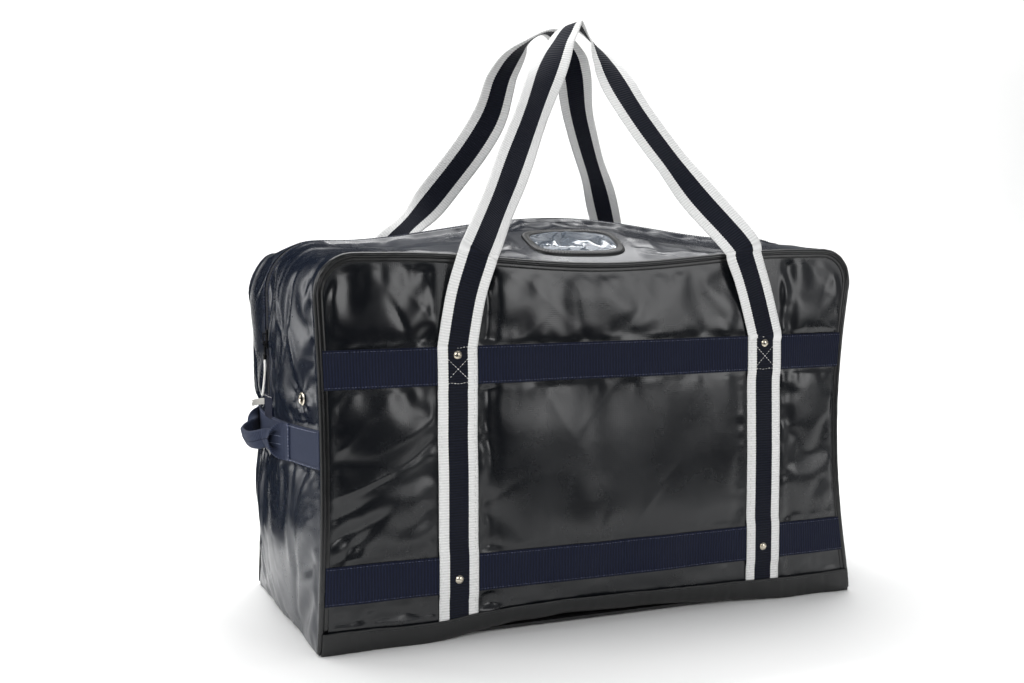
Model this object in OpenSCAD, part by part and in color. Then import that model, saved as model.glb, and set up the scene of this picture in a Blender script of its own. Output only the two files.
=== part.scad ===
// A large soft carry bag for skates and ice hockey gear.
// X runs along the bag, Y runs from the front panel (-Y) to the rear panel, Z is up.
// The origin is at the middle of the base, on the floor.

/* [Bag] */
// Length between the two end seams
bag_l = 800; // [700:10:900]
// Depth between the front and rear seams
bag_d = 386; // [340:2:430]
// Height of the front seam at the corners
bag_h = 504; // [440:2:560]
// Radius of the two upper corners of the front and rear panels
corner_r = 52; // [40:1:70]
// How far the top seam sags in the middle
top_sag = 16; // [0:1:24]
// How far the stuffed top rises over the seam near the corners
top_rise = 18; // [8:1:24]
// How much more the top rises in the middle
top_crown = 48; // [20:1:60]
// How far each end bulges past its seams
end_bulge = 18; // [8:1:24]
// How far the front and rear panels bulge
front_bulge = 8; // [2:1:12]
// How far the left seam is drawn in at mid height
left_waist = 8; // [0:1:20]
// How far the right seam is drawn in at mid height
right_waist = 26; // [0:1:30]
// Thickness of the coated cloth
cloth_t = 1.5; // [1:0.1:2]

/* [Webbing] */
// Width of the carry straps
strap_w = 54; // [48:1:60]
// Thickness of the webbing
web_t = 2.2; // [1.6:0.1:2.6]
// Middle of the left strap along the bag
strap_left_x = -216; // [-240:1:-190]
// Middle of the right strap along the bag
strap_right_x = 248; // [200:1:260]
// Height of the line where the free handle leaves the sewn strap
handle_z = 384; // [370:1:400]
// Width of the webbing bands and of the grab handles
band_w = 50; // [44:1:54]
// Height of the middle of the upper band
upper_band_z = 361; // [340:1:361]
// Height of the middle of the lower band
lower_band_z = 88; // [80:1:110]
// Height of the cloth strip that wraps up from the base
base_strip_h = 33; // [20:1:45]
// Highest point of the carry handles
handle_top_z = 838; // [780:2:880]

/* [Ends] */
// Height of the middle of the grab handles
grab_z = 261; // [240:1:275]
// How far the resting grab handle droops, in degrees
grab_droop = 20; // [0:1:30]
// Height of the lower end of the zip
zip_low_z = 314; // [305:1:330]
// Height of the middle of the zip slider
slider_z = 390; // [380:1:395]
// Radius of the hole in a vent eyelet
eyelet_r = 4.6; // [3:0.1:6]

/* [Hidden] */

half_l = bag_l / 2;
half_d = bag_d / 2;
// Free room between a seam line and the edge of each cloth panel, for the piping
seam_gap = 5;
piping_r = 3.8;
// Gap between layers that lie on each other
layer = 0.3;
// Half of the slot in the cloth that the zip fills
zip_half = 12.5;
coil_in = 1;
coil_out = 3.2;
// Distance of the flaps' hinged edge from the seam
flap_edge = 13;
// Width of the tape that binds the top seam
binding_w = 4.5;
flap_x = half_l - corner_r - 2;
// Height above the cloth's inner face of each layer
band_low = cloth_t + layer;
band_high = band_low + 1.6;
strap_low = band_high + layer;
strap_high = strap_low + web_t;
grab_r = 16;
grab_reach = 46;
end_x = half_l + end_bulge;

NAVY = [0.08, 0.09, 0.17];
INK = [0.13, 0.14, 0.17];
BLACK = [0.05, 0.05, 0.06];
WHITE = [0.9, 0.9, 0.9];
NICKEL = [0.75, 0.73, 0.68];

function steps(a, b, n) = [for (i = [0:n]) a + (b - a) * i / n];
function unit(v) = v / norm(v);
function mix(a, b, k) = a * (1 - k) + b * k;
function smooth(k) = let (c = min(1, max(0, k))) c * c * (3 - 2 * c);

// The bag's surfaces -------------------------------------------------------

// Sag of the top seam at x
function sag(x) = abs(x) < 0.375 * bag_l ? top_sag * pow(cos(180 * x / (0.75 * bag_l)), 2) : 0;

// Height of the front panel's outline at x
function top_z(x) =
    let (over = abs(x) - (half_l - corner_r))
    over <= 0 ? bag_h - sag(x) : bag_h - corner_r + sqrt(max(0, pow(corner_r, 2) - pow(over, 2)));

// How far a point near a side seam is drawn in
function waist(x, z) =
    (x < 0 ? left_waist : -right_waist) * sin(180 * z / bag_h) * pow(x / half_l, 6);

// A point t outside the front panel's inner face
function front_at(x, z, t) =
    let (swell = front_bulge * (1 - pow(x / half_l, 2)) * sin(180 * z / bag_h))
    [x + waist(x, z), -(half_d + swell + t), z];

// The seam line, u = 0 to 1 up the left side, to 2 round its corner, to 3 along the top,
// to 4 round the right corner and to 5 down the right side, as [x, z, normal x, normal z]
function seam(u) =
    u <= 1 ? [-half_l, u * (bag_h - corner_r), -1, 0] :
    u <= 2 ? let (a = 90 * (u - 1))
        [-half_l + corner_r * (1 - cos(a)), bag_h - corner_r + corner_r * sin(a), -cos(a), sin(a)] :
    u <= 3 ? let (x = (u - 2.5) * 2 * (half_l - corner_r)) [x, bag_h - sag(x), 0, 1] :
    let (s = seam(5 - u)) [-s[0], s[1], -s[2], s[3]];

// How far the ends and the top swell past the seam line, half way between front and rear
function swell(u) =
    let (s = seam(u), grow = sin(90 * min(1, s[1] / (0.35 * bag_h))))
    (u <= 1 || u >= 4) ? grow * (end_bulge + abs(waist(s[0], s[1]))) :
    (u < 2 || u > 3) ? end_bulge + abs(waist(s[0], s[1])) :
    top_rise + (abs(s[0]) < 0.4 * bag_l ? top_crown * pow(cos(180 * s[0] / (0.8 * bag_l)), 2) : 0);

// A point t outside the inner face of the long strip that makes the ends and the top
function strip_at(u, y, t) =
    let (s = seam(u), out = swell(u) * (1 - pow(y / half_d, 2)) + t)
    [s[0] + waist(s[0], s[1]) + s[2] * out, y, s[1] + s[3] * out];

// The u of height z on the left end, and of x on the top
function u_end(z) = z / (bag_h - corner_r);
function u_top(x) = 2.5 + x / (2 * (half_l - corner_r));

// The same on the left end (side -1) or, turned half a turn about Z, on the right end (side 1)
function end_at(side, u, y, t) = side < 0 ? strip_at(u, y, t) : strip_at(5 - u, -y, t);

// Solid builders -----------------------------------------------------------

// A thin sheet between f(u, v, low) and f(u, v, high) over lists of u and v
module sheet(f, us, vs, low, high) {
    nu = len(us);
    nv = len(vs);
    n = nu * nv;
    id = function(i, j, k) k * n + i * nv + j;
    points = [for (t = [high, low]) for (u = us) for (v = vs) f(u, v, t)];
    faces = [
        for (i = [0:nu - 2], j = [0:nv - 2]) each [
            [id(i, j, 0), id(i + 1, j + 1, 0), id(i + 1, j, 0)],
            [id(i, j, 0), id(i, j + 1, 0), id(i + 1, j + 1, 0)],
            [id(i, j, 1), id(i + 1, j, 1), id(i + 1, j + 1, 1)],
            [id(i, j, 1), id(i + 1, j + 1, 1), id(i, j + 1, 1)]
        ],
        for (i = [0:nu - 2]) each [
            [id(i, 0, 0), id(i + 1, 0, 0), id(i + 1, 0, 1)],
            [id(i, 0, 0), id(i + 1, 0, 1), id(i, 0, 1)],
            [id(i, nv - 1, 0), id(i + 1, nv - 1, 1), id(i + 1, nv - 1, 0)],
            [id(i, nv - 1, 0), id(i, nv - 1, 1), id(i + 1, nv - 1, 1)]
        ],
        for (j = [0:nv - 2]) each [
            [id(0, j, 0), id(0, j + 1, 1), id(0, j + 1, 0)],
            [id(0, j, 0), id(0, j, 1), id(0, j + 1, 1)],
            [id(nu - 1, j, 0), id(nu - 1, j + 1, 0), id(nu - 1, j + 1, 1)],
            [id(nu - 1, j, 0), id(nu - 1, j + 1, 1), id(nu - 1, j, 1)]
        ]
    ];
    polyhedron(points, faces);
}

// A tube or ribbon through rings of points, each ring in the same order
module sweep(rings) {
    m = len(rings[0]);
    last = len(rings) - 1;
    faces = [
        [for (k = [0:m - 1]) k],
        for (i = [0:last - 1], k = [0:m - 1]) each [
            [i * m + k, (i + 1) * m + (k + 1) % m, i * m + (k + 1) % m],
            [i * m + k, (i + 1) * m + k, (i + 1) * m + (k + 1) % m]
        ],
        [for (k = [0:m - 1]) last * m + m - 1 - k]
    ];
    polyhedron([for (r = rings) each r], faces);
}

// A smooth curve through the points p, n steps to each span
function curve(p, n) = [
    for (i = [0:len(p) - 2], k = [0:n - 1]) curve_at(p, i, k / n),
    p[len(p) - 1]
];
function curve_at(p, i, k) =
    let (a = p[max(0, i - 1)], b = p[i], c = p[i + 1], d = p[min(len(p) - 1, i + 2)])
    b + 0.5 * k * ((c - a) + k * ((2 * a - 5 * b + 4 * c - d) + k * (3 * (b - c) + d - a)));
function heading(p, i) = unit(p[min(len(p) - 1, i + 1)] - p[max(0, i - 1)]);

// The ring of a flat strap at p, heading t, with its face towards n
function strap_ring(p, t, n, wide, thick) =
    let (across = unit(cross(t, n)), face = cross(across, t))
    [for (c = [[-1, -1], [-1, 1], [1, 1], [1, -1]])
        p + across * c[0] * wide / 2 + face * c[1] * thick / 2];

// Cloth and seams ----------------------------------------------------------

// Columns of the front panel, close together round the corners
function panel_columns() =
    let (edge = half_l - seam_gap, flat = half_l - corner_r, bend = edge - flat)
    [for (a = [0:15:75]) -flat - bend * cos(a), each steps(-flat, flat, 14),
     for (a = [75:-15:0]) flat + bend * cos(a)];

// A point of the panel, k of the way up, where x0 is its place before the seam gap is taken off
function panel_at(x, k, t) =
    let (x0 = x * half_l / (half_l - seam_gap), z = mix(3, top_z(x0) - seam_gap, k))
    front_at(x, z, t) + [waist(x0, z) - waist(x, z), 0, 0];

module front_panel() {
    color(INK)
        sheet(function(x, k, t) panel_at(x, k, t), panel_columns(), steps(0, 1, 12), 0, cloth_t);
}

module rear_panel() {
    mirror([0, 1, 0]) front_panel();
}

// One end with its two upper corners, slotted for the zip and holed for its eyelet
module end_panel(side) {
    color(INK)
        difference() {
            sheet(function(u, y, t) end_at(side, u, y, t),
                concat([0.006], steps(0.1, 1, 9), steps(1.2, 2, 4)),
                steps(-half_d + seam_gap, half_d - seam_gap, 10), 0, cloth_t);
            translate([side * half_l - 100, -zip_half, zip_low_z]) cube([200, 2 * zip_half, bag_h]);
            on_eyelet(side) cylinder(r = eyelet_r + 0.8, h = 20, center = true, $fn = 32);
        }
}

module left_end_panel() {
    end_panel(-1);
}

module right_end_panel() {
    end_panel(1);
}

module base_panel() {
    color(BLACK)
        translate([-half_l + 2, -half_d - 3, 0]) cube([bag_l - 4, bag_d + 6, 2]);
}

// The stiffener that keeps the base flat
module base_board() {
    x = half_l - 58;
    y = half_d - 46;
    r = 30;
    color(BLACK)
        translate([0, 0, 2.3]) linear_extrude(3.7) {
            square([2 * x, 2 * (y + r)], center = true);
            square([2 * (x + r), 2 * y], center = true);
            for (sx = [-1, 1], sy = [-1, 1]) translate([sx * x, sy * y]) circle(r = r, $fn = 48);
        }
}

module front_base_strip() {
    color(BLACK)
        sheet(function(x, z, t) front_at(x, z, t), steps(-half_l + seam_gap, half_l - seam_gap, 20),
            [2.3, base_strip_h], band_low, band_high);
}

module rear_base_strip() {
    mirror([0, 1, 0]) front_base_strip();
}

// The round piping that follows the front seam from floor to floor
module front_piping() {
    us = concat([0.008], steps(0.1, 1, 9), steps(1.1, 2, 9), steps(2.05, 2.95, 18),
        steps(3, 4, 10), steps(4.1, 4.9, 8), [4.992]);
    color(BLACK)
        sweep([for (u = us) let (s = seam(u), w = waist(s[0], s[1]))
            [for (a = [0:45:315]) [s[0] + w + s[2] * piping_r * cos(a),
                -half_d - 0.6 - piping_r * sin(a), s[1] + s[3] * piping_r * cos(a)]]]);
}

module rear_piping() {
    mirror([0, 1, 0]) front_piping();
}

// The tape that binds the top seam, between the piping and the flap
module front_top_binding() {
    color(BLACK)
        sheet(function(u, y, t) strip_at(u, y, t), steps(2.02, 2.98, 20),
            [-half_d + seam_gap, -half_d + seam_gap + binding_w], 0, cloth_t);
}

module rear_top_binding() {
    mirror([0, 1, 0]) front_top_binding();
}

// Webbing on the front and rear --------------------------------------------

module band(z) {
    color(NAVY)
        sheet(function(x, h, t) front_at(x, z + h, t), steps(-half_l + 7, half_l - 7, 20),
            [-band_w / 2, band_w / 2], band_low, band_high);
}

module upper_front_band() {
    band(upper_band_z);
}

module lower_front_band() {
    band(lower_band_z);
}

module upper_rear_band() {
    mirror([0, 1, 0]) band(upper_band_z);
}

module lower_rear_band() {
    mirror([0, 1, 0]) band(lower_band_z);
}

// The sewn part of a carry strap, from the base strip up to the handle's fold
module sewn_strap(x) {
    color(WHITE)
        sheet(function(a, z, t) front_at(x + a, z, t), [-strap_w / 2, 0, strap_w / 2],
            steps(base_strip_h + 0.5, handle_z, 10), strap_low, strap_high);
}

module front_left_strap() {
    sewn_strap(strap_left_x);
}

module front_right_strap() {
    sewn_strap(strap_right_x);
}

module rear_left_strap() {
    mirror([0, 1, 0]) sewn_strap(strap_left_x);
}

module rear_right_strap() {
    mirror([0, 1, 0]) sewn_strap(strap_right_x);
}

// A domed rivet through strap, band and panel, with its washer inside the bag
module rivet() {
    head_r = 5.5;
    washer_r = 6;
    shank_r = 1.8;
    base = strap_high + 0.1;
    dome = 2.3;
    ball_r = (pow(head_r, 2) + pow(dome, 2)) / (2 * dome);
    rotate_extrude($fn = 32)
        polygon([[0, -1.7], [washer_r, -1.7], [washer_r, -0.5], [shank_r, -0.5], [shank_r, base],
            [head_r, base], for (a = steps(asin(head_r / ball_r), 0, 5))
                [ball_r * sin(a), base + dome - ball_r + ball_r * cos(a)]]);
}

module strap_rivets() {
    color(NICKEL)
        for (side = [0, 1], x = [strap_left_x, strap_right_x], z = [upper_band_z + 14, lower_band_z - 6])
            mirror([0, side, 0])
                translate(front_at(x, z, 0)) rotate([90, 0, 0]) rivet();
}

// Zip ----------------------------------------------------------------------

// Heights on an end and round its corner that the zip follows
function zip_run() = concat(steps(u_end(zip_low_z + 0.5), 1, 5), steps(1.2, 2, 4));

// Both halves of a zip's run on one end, from y_in to y_out of its middle
module end_zip(side, y_in, y_out, low, high) {
    for (ys = [[-y_out, -y_in], [y_in, y_out]])
        sheet(function(u, y, t) end_at(side, u, y, t), zip_run(), ys, low, high);
}

module left_zip_tapes() {
    color(NAVY) end_zip(-1, coil_out + 0.1, zip_half - 0.3, 0.1, cloth_t - 0.3);
}

module right_zip_tapes() {
    color(NAVY) end_zip(1, coil_out + 0.1, zip_half - 0.3, 0.1, cloth_t - 0.3);
}

module left_zip_coils() {
    color(BLACK) end_zip(-1, coil_in, coil_out, -0.7, cloth_t + 0.5);
}

module right_zip_coils() {
    color(BLACK) end_zip(1, coil_in, coil_out, -0.7, cloth_t + 0.5);
}

module zip_end_stops() {
    color(NICKEL)
        for (side = [0, 1])
            mirror([side, 0, 0])
                translate([-end_x - cloth_t - 1.2, -4, zip_low_z - 4]) cube([0.9, 8, 3]);
}

// The webbing patch that covers the zip's lower end
module left_zip_patch() {
    color(NAVY)
        difference() {
            sheet(function(u, y, t) strip_at(u, y, t),
                [u_end(grab_z + band_w / 2 + 0.5), u_end(zip_low_z - 0.5)],
                steps(-band_w / 2, band_w / 2, 4), band_low, band_high);
            translate([-end_x - 6, -4.3, zip_low_z - 4.3]) cube([10, 8.6, 8]);
        }
}

module right_zip_patch() {
    mirror([1, 0, 0]) left_zip_patch();
}

// A small blank tag caught in the seam above the patch
module side_tag() {
    color(WHITE)
        translate([-end_x - 22, band_w / 2 + 1.5, grab_z + 36]) rotate([12, 0, 0]) cube([19, 0.9, 9]);
}

// The zip's halves on the flaps follow the middle of the top
module flap_zip(y_in, y_out, low, high) {
    sheet(function(u, y, t) strip_at(u, y, t), steps(u_top(-flap_x + 0.5), u_top(flap_x - 0.5), 20),
        [-y_out, -y_in], low, high);
}

module front_flap_tape() {
    color(NAVY) flap_zip(coil_out + 0.1, zip_half - 0.3, 0.1, cloth_t - 0.3);
}

module rear_flap_tape() {
    mirror([0, 1, 0]) front_flap_tape();
}

module front_flap_coil() {
    color(BLACK) flap_zip(coil_in / 2, coil_out, -0.7, cloth_t + 0.5);
}

module rear_flap_coil() {
    mirror([0, 1, 0]) front_flap_coil();
}

// The slider lies in its own frame: X up the zip, Y across it, Z out of the bag
module on_end(z) {
    translate([-end_x, 0, z]) rotate([0, -90, 0]) children();
}

slider_l = 26;
bar_x = -3;
bar_t = 6.2;

module slider() {
    color(BLACK)
        union() {
            slider_plate(2.4, 2.2);
            slider_plate(-3.6, 2.2);
            translate([4, 0, -2]) linear_extrude(5)
                polygon([[-4, 0], [0, 0.8], [6, 0.8], [6, -0.8], [0, -0.8]]);
            for (x = [-8.2, 6.6]) translate([x, -1.2, 4.5]) cube([1.6, 2.4, 4]);
            translate([-8.2, -1.2, 7.6]) cube([16.4, 2.4, 1]);
        }
}

module slider_plate(t, h) {
    translate([0, 0, t]) linear_extrude(h)
        polygon([[-13, -4.4], [-13, 4.4], [-4, 5.2], [6, 6.6], [13, 5.4], [13, -5.4], [6, -6.6], [-4, -5.2]]);
}

module left_slider() {
    on_end(slider_z) slider();
}

module right_slider() {
    mirror([1, 0, 0]) left_slider();
}

// The tab turns on a bar under the slider's bridge and ends in a barrel
module pull_tab() {
    color(BLACK)
        union() {
            translate([bar_x, 4, bar_t]) rotate([90, 0, 0]) cylinder(r = 0.8, h = 8, $fn = 24);
            for (y = [2, -4]) translate([bar_x - 8, y, bar_t - 0.7]) cube([8, 2, 1.4]);
            translate([bar_x - 19, -4, bar_t - 0.7]) cube([12, 8, 1.4]);
            translate([bar_x - 18, 0, bar_t]) rotate([0, -90, 0]) cylinder(r = 2.6, h = 7, $fn = 32);
        }
}

module left_pull_tab() {
    on_end(slider_z) pull_tab();
}

module right_pull_tab() {
    mirror([1, 0, 0]) left_pull_tab();
}

// The short cord on the left pull, from the barrel's mouth down
cord_r = 1.7;
cord_route = [[-424.2, 0, 362], [-424.2, 0, 356], [-424, 1, 348], [-424, 4, 340], [-424, 8, 332],
    [-424, 13, 324], [-424, 18, 317], [-424, 23, 311]];

module left_pull_cord() {
    p = curve(cord_route, 3);
    color(WHITE)
        sweep([for (i = [0:len(p) - 1]) let (t = heading(p, i), a = unit(cross(t, [1, 0, 0])), b = cross(t, a))
            [for (k = [0:45:315]) p[i] + cord_r * (a * cos(k) + b * sin(k))]]);
}

// Ends ---------------------------------------------------------------------

eyelet_y = -145;
eyelet_z = 322;

// The eyelet's frame on one end: Z out of the cloth
module on_eyelet(side) {
    u = u_end(eyelet_z);
    p = end_at(side, u, side * -eyelet_y, 0);
    out = swell(side < 0 ? u : 5 - u);
    lean = atan(2 * out * -eyelet_y / pow(half_d, 2));
    translate([p[0], eyelet_y, p[2]]) rotate([0, 0, -side * lean]) rotate([0, side * 90, 0]) children();
}

module eyelet() {
    rotate_extrude($fn = 48)
        polygon([[eyelet_r, -1.8], [8, -1.8], [8, -1], [eyelet_r + 0.5, -0.9], [eyelet_r + 0.5, cloth_t + 0.9],
            [8.4, cloth_t + 0.9], [8.6, cloth_t + 1.5], [7, cloth_t + 2.5], [5.4, cloth_t + 2.3],
            [eyelet_r, cloth_t + 1.3]]);
}

module vent_eyelets() {
    color(NICKEL)
        for (side = [-1, 1]) on_eyelet(side) eyelet();
}

// The webbing sewn right across an end, behind the grab handle
module grab_band(side) {
    color(NAVY)
        sheet(function(u, y, t) end_at(side, u, y, t),
            [u_end(grab_z - band_w / 2), u_end(grab_z + band_w / 2)],
            steps(-half_d + 6, half_d - 6, 14), band_low, band_high);
}

module left_grab_band() {
    grab_band(-1);
}

module right_grab_band() {
    grab_band(1);
}

// The folded webbing that stands off the band and carries the grip's ends
module left_grab_anchors() {
    root = strip_at(u_end(grab_z), -86, band_high + 1.6);
    tip = [-end_x - grab_r, -grab_reach - 3, grab_z];
    path = curve([root, mix(root, tip, 0.5) + [2, 0, 0], tip], 4);
    n = len(path) - 1;
    color(NAVY)
        for (side = [0, 1])
            mirror([0, side, 0])
                sweep([for (i = [0:n]) strap_ring(path[i], heading(path, i), [-1, 0, 0],
                    mix(band_w, 26, smooth(i / n)), 2)]);
}

module right_grab_anchors() {
    mirror([1, 0, 0]) left_grab_anchors();
}

// The grip turns about the line between the anchors' tips, and rests drooping
module left_grab_handle() {
    bow = 16;
    path = [for (y = steps(-grab_reach, grab_reach, 16))
        [-bow * (1 - pow(y / grab_reach, 4)), y, 0]];
    color(NAVY)
        translate([-end_x - grab_r, 0, grab_z]) rotate([0, -grab_droop, 0])
            sweep([for (i = [0:16]) strap_ring(path[i], heading(path, i), [-1, 0, 0], 25, 5)]);
}

module right_grab_handle() {
    mirror([1, 0, 0]) left_grab_handle();
}

// Flaps --------------------------------------------------------------------

module front_flap() {
    color(INK)
        sheet(function(u, y, t) strip_at(u, y, t), steps(u_top(-flap_x), u_top(flap_x), 20),
            steps(-half_d + flap_edge, -zip_half, 8), 0, cloth_t);
}

module rear_flap() {
    mirror([0, 1, 0]) front_flap();
}

id_x = -24;
id_y = -142;
id_w = 140;
id_d = 70;
id_frame_w = 9;

// A rounded outline round the window's middle, at angle a, grown by g
function id_edge(a, g) =
    let (c = cos(a), s = sin(a), k = pow(pow(abs(c), 4) + pow(abs(s), 4), -0.25))
    [id_x + (id_w / 2 + g) * c * k, id_y + (id_d / 2 + g) * s * k];

module id_window_frame() {
    color(BLACK)
        sheet(function(a, g, t) let (p = id_edge(a, g)) strip_at(u_top(p[0]), p[1], t),
            steps(0, -357, 36), [-id_frame_w, 0], cloth_t + layer, cloth_t + 2.6);
}

module id_window_vinyl() {
    color([0.8, 0.85, 0.9, 0.4])
        sheet(function(a, g, t) let (p = id_edge(a, g)) strip_at(u_top(p[0]), p[1], t),
            steps(0, -357, 36), [-id_d / 2 + 3, -id_frame_w - 0.4], cloth_t + layer, cloth_t + 0.9);
}

// Carry handles ------------------------------------------------------------

// The plane of the outer face of the sewn strap, where the handle folds
fold_y = front_at(strap_left_x, handle_z, strap_high)[1];
leg_y = fold_y + web_t / 2 - 0.2;

// Middle line of a loop, from the left fold over the top to the right fold. s is -1 for the
// front loop and 1 for the rear one, whose top lies flatter and further left.
function loop_route(s) =
    let (top = handle_top_z, edge = bag_h + 14, y = -s * leg_y, h = s * 28)
    concat(
        [[strap_left_x, y, handle_z + 1], [strap_left_x + 10, y + s * 0.5, 440],
         [strap_left_x + 25, y + s * 4, bag_h - 6], [strap_left_x + 34, y + s, edge],
         [-126, s * 148, 594], [-62, s * 92, 700]],
        s < 0 ? [[-16, s * 50, 776], [10, s * 34, 815], [32, h, top], [54, s * 34, 816], [72, s * 50, 780]]
            : [[-44, s * 64, 772], [-22, s * 36, 813], [14, h, top - 4], [46, s * 34, 814], [66, s * 50, 776]],
        [[98, s * 92, 704], [160, s * 148, 594], [strap_right_x - 45, y + s, edge],
         [strap_right_x - 38, y + s * 4, bag_h - 8], [strap_right_x - 16, y + s * 0.5, 440],
         [strap_right_x, y, handle_z + 1]]);

module loop(s) {
    p = curve(loop_route(s), 4);
    n = len(p) - 1;
    color(WHITE)
        sweep([for (i = [0:n]) let (k = smooth((p[i][2] - 700) / (handle_top_z - 720)),
            lift = i == 0 || i == n ? [0, 0, i == 0 ? 1 : -1] : heading(p, i))
            strap_ring(p[i], lift, mix([0, s, 0], [0, 0, 1], k), strap_w, web_t)]);
}

module front_handle() {
    loop(-1);
}

module rear_handle() {
    loop(1);
}

front_panel();
rear_panel();
left_end_panel();
right_end_panel();
base_panel();
base_board();
front_base_strip();
rear_base_strip();
front_piping();
rear_piping();
front_top_binding();
rear_top_binding();
upper_front_band();
lower_front_band();
upper_rear_band();
lower_rear_band();
front_left_strap();
front_right_strap();
rear_left_strap();
rear_right_strap();
strap_rivets();
vent_eyelets();
left_zip_tapes();
right_zip_tapes();
left_zip_coils();
right_zip_coils();
zip_end_stops();
left_zip_patch();
right_zip_patch();
side_tag();
left_grab_band();
right_grab_band();
left_grab_anchors();
right_grab_anchors();
left_grab_handle();
right_grab_handle();
front_flap();
rear_flap();
front_flap_tape();
rear_flap_tape();
front_flap_coil();
rear_flap_coil();
id_window_frame();
id_window_vinyl();
front_handle();
rear_handle();
left_slider();
right_slider();
left_pull_tab();
right_pull_tab();
left_pull_cord();
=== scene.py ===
# %% [markdown]
# # A large carry bag for skates and ice hockey gear
# The bag is a box of coated cloth with piped seams, ribbed webbing bands, two long striped
# carry handles, a grab handle on each end and a zip along the top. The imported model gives
# the true sizes. Every visible piece is made here around it, in metres, in its place.

import math

import bpy
import numpy as np
from mathutils import Matrix, Vector


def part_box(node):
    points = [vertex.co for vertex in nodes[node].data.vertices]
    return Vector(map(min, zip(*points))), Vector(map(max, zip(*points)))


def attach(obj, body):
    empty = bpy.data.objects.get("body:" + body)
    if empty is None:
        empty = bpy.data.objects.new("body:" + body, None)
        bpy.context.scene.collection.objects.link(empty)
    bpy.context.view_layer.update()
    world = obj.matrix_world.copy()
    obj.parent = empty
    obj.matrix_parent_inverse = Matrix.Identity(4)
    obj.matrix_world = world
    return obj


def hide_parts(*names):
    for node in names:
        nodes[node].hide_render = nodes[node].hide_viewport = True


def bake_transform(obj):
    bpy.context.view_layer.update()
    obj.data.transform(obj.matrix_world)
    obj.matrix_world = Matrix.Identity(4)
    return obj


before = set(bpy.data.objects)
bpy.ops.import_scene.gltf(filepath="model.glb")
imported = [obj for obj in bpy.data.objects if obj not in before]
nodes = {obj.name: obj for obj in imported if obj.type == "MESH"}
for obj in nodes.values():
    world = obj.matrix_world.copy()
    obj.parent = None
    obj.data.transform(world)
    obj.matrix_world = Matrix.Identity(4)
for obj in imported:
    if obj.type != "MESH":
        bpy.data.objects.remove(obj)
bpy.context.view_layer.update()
scene = bpy.context.scene

# %% [markdown]
# ## Camera
# A product shot is taken from a little left of the bag and just above its shoulders, with
# a lens slightly longer than the eye sees. The place and the turn are set as numbers, so
# that the view stays the same when the pieces change.

# %% Camera
camera_place = Vector((-0.7581, -1.7275, 0.5049))
yaw, pitch, roll = 0.3847, -0.0698, -0.0071
ahead = Vector((math.sin(yaw) * math.cos(pitch), math.cos(yaw) * math.cos(pitch), math.sin(pitch)))
right = Vector((math.cos(yaw), -math.sin(yaw), 0))
up = right.cross(ahead)
turned_right = right * math.cos(roll) + up * math.sin(roll)
turned_up = up * math.cos(roll) - right * math.sin(roll)
lens_data = bpy.data.cameras.new("studio_camera")
lens_data.lens, lens_data.sensor_width = 44.44, 36
camera = bpy.data.objects.new("studio_camera", lens_data)
scene.collection.objects.link(camera)
camera.matrix_world = Matrix((
    (turned_right.x, turned_up.x, -ahead.x, camera_place.x),
    (turned_right.y, turned_up.y, -ahead.y, camera_place.y),
    (turned_right.z, turned_up.z, -ahead.z, camera_place.z),
    (0, 0, 0, 1)))
scene.camera = camera
print("camera height", round(camera_place.z, 3))

# %% [markdown]
# ## One helper for nodes, one for colours
# Colours are written as the sRGB hex values that a paint program shows. Shaders work with
# linear light, so one function turns them. One more function adds a node, sets it and
# joins it to others, and all the materials below are written with it.

# %% Node and colour helpers
def linear(hex_colour):
    """A hex colour as linear red, green, blue and alpha."""
    parts = [int(hex_colour[i:i + 2], 16) / 255 for i in (1, 3, 5)]
    return [c / 12.92 if c <= 0.04045 else ((c + 0.055) / 1.055) ** 2.4 for c in parts] + [1]


def add(tree, kind, settings=None, links=None):
    """Adds a node, with settings for its properties or inputs and links from (node, output)."""
    node = tree.nodes.new(kind)
    for key, value in (settings or {}).items():
        if isinstance(key, str) and hasattr(node, key):
            setattr(node, key, value)
        else:
            node.inputs[key].default_value = value
    for key, (source, output) in (links or {}).items():
        tree.links.new(source.outputs[output], node.inputs[key])
    return node


def new_material(name):
    """An empty node material, its tree and its Principled shader."""
    material = bpy.data.materials.new(name)
    material.use_nodes = True
    tree = material.node_tree
    shader = tree.nodes["Principled BSDF"]
    return material, tree, shader


print("white is", linear("#ffffff")[:3])

# %% [markdown]
# ## Floor and light
# The bag stands on a pale floor that runs up into a pale wall, as on a roll of studio
# paper. Coated cloth is nearly black and shows mostly what it mirrors, so the lights are
# large soft boxes: one over the bag, two at its left end, two in front, a weak one behind
# and one that washes the wall. Black flags, seen only by mirrored rays, keep the pale floor
# and wall out of the gloss of the front and the left end, as in a studio.

# %% Floor and lights
def studio_paper():
    """A floor that curves up into a wall behind the bag."""
    half_wide, near, far, wall_top, bend_r = 9.0, -9.0, 3.4, 7.0, 1.6
    profile = [(near, 0.0), (far, 0.0)]
    profile += [(far + bend_r * math.sin(a), bend_r - bend_r * math.cos(a))
                for a in np.linspace(0.1, math.pi / 2, 12)]
    profile += [(far + bend_r, wall_top)]
    points = [(x, y, z) for y, z in profile for x in (-half_wide, half_wide)]
    faces = [(2 * i, 2 * i + 1, 2 * i + 3, 2 * i + 2) for i in range(len(profile) - 1)]
    mesh = bpy.data.meshes.new("studio_paper")
    mesh.from_pydata(points, [], faces)
    for polygon in mesh.polygons:
        polygon.use_smooth = True
    floor = bpy.data.objects.new("studio_paper", mesh)
    scene.collection.objects.link(floor)
    return floor


paper, paper_tree, paper_shader = new_material("matt_studio_paper")
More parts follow.
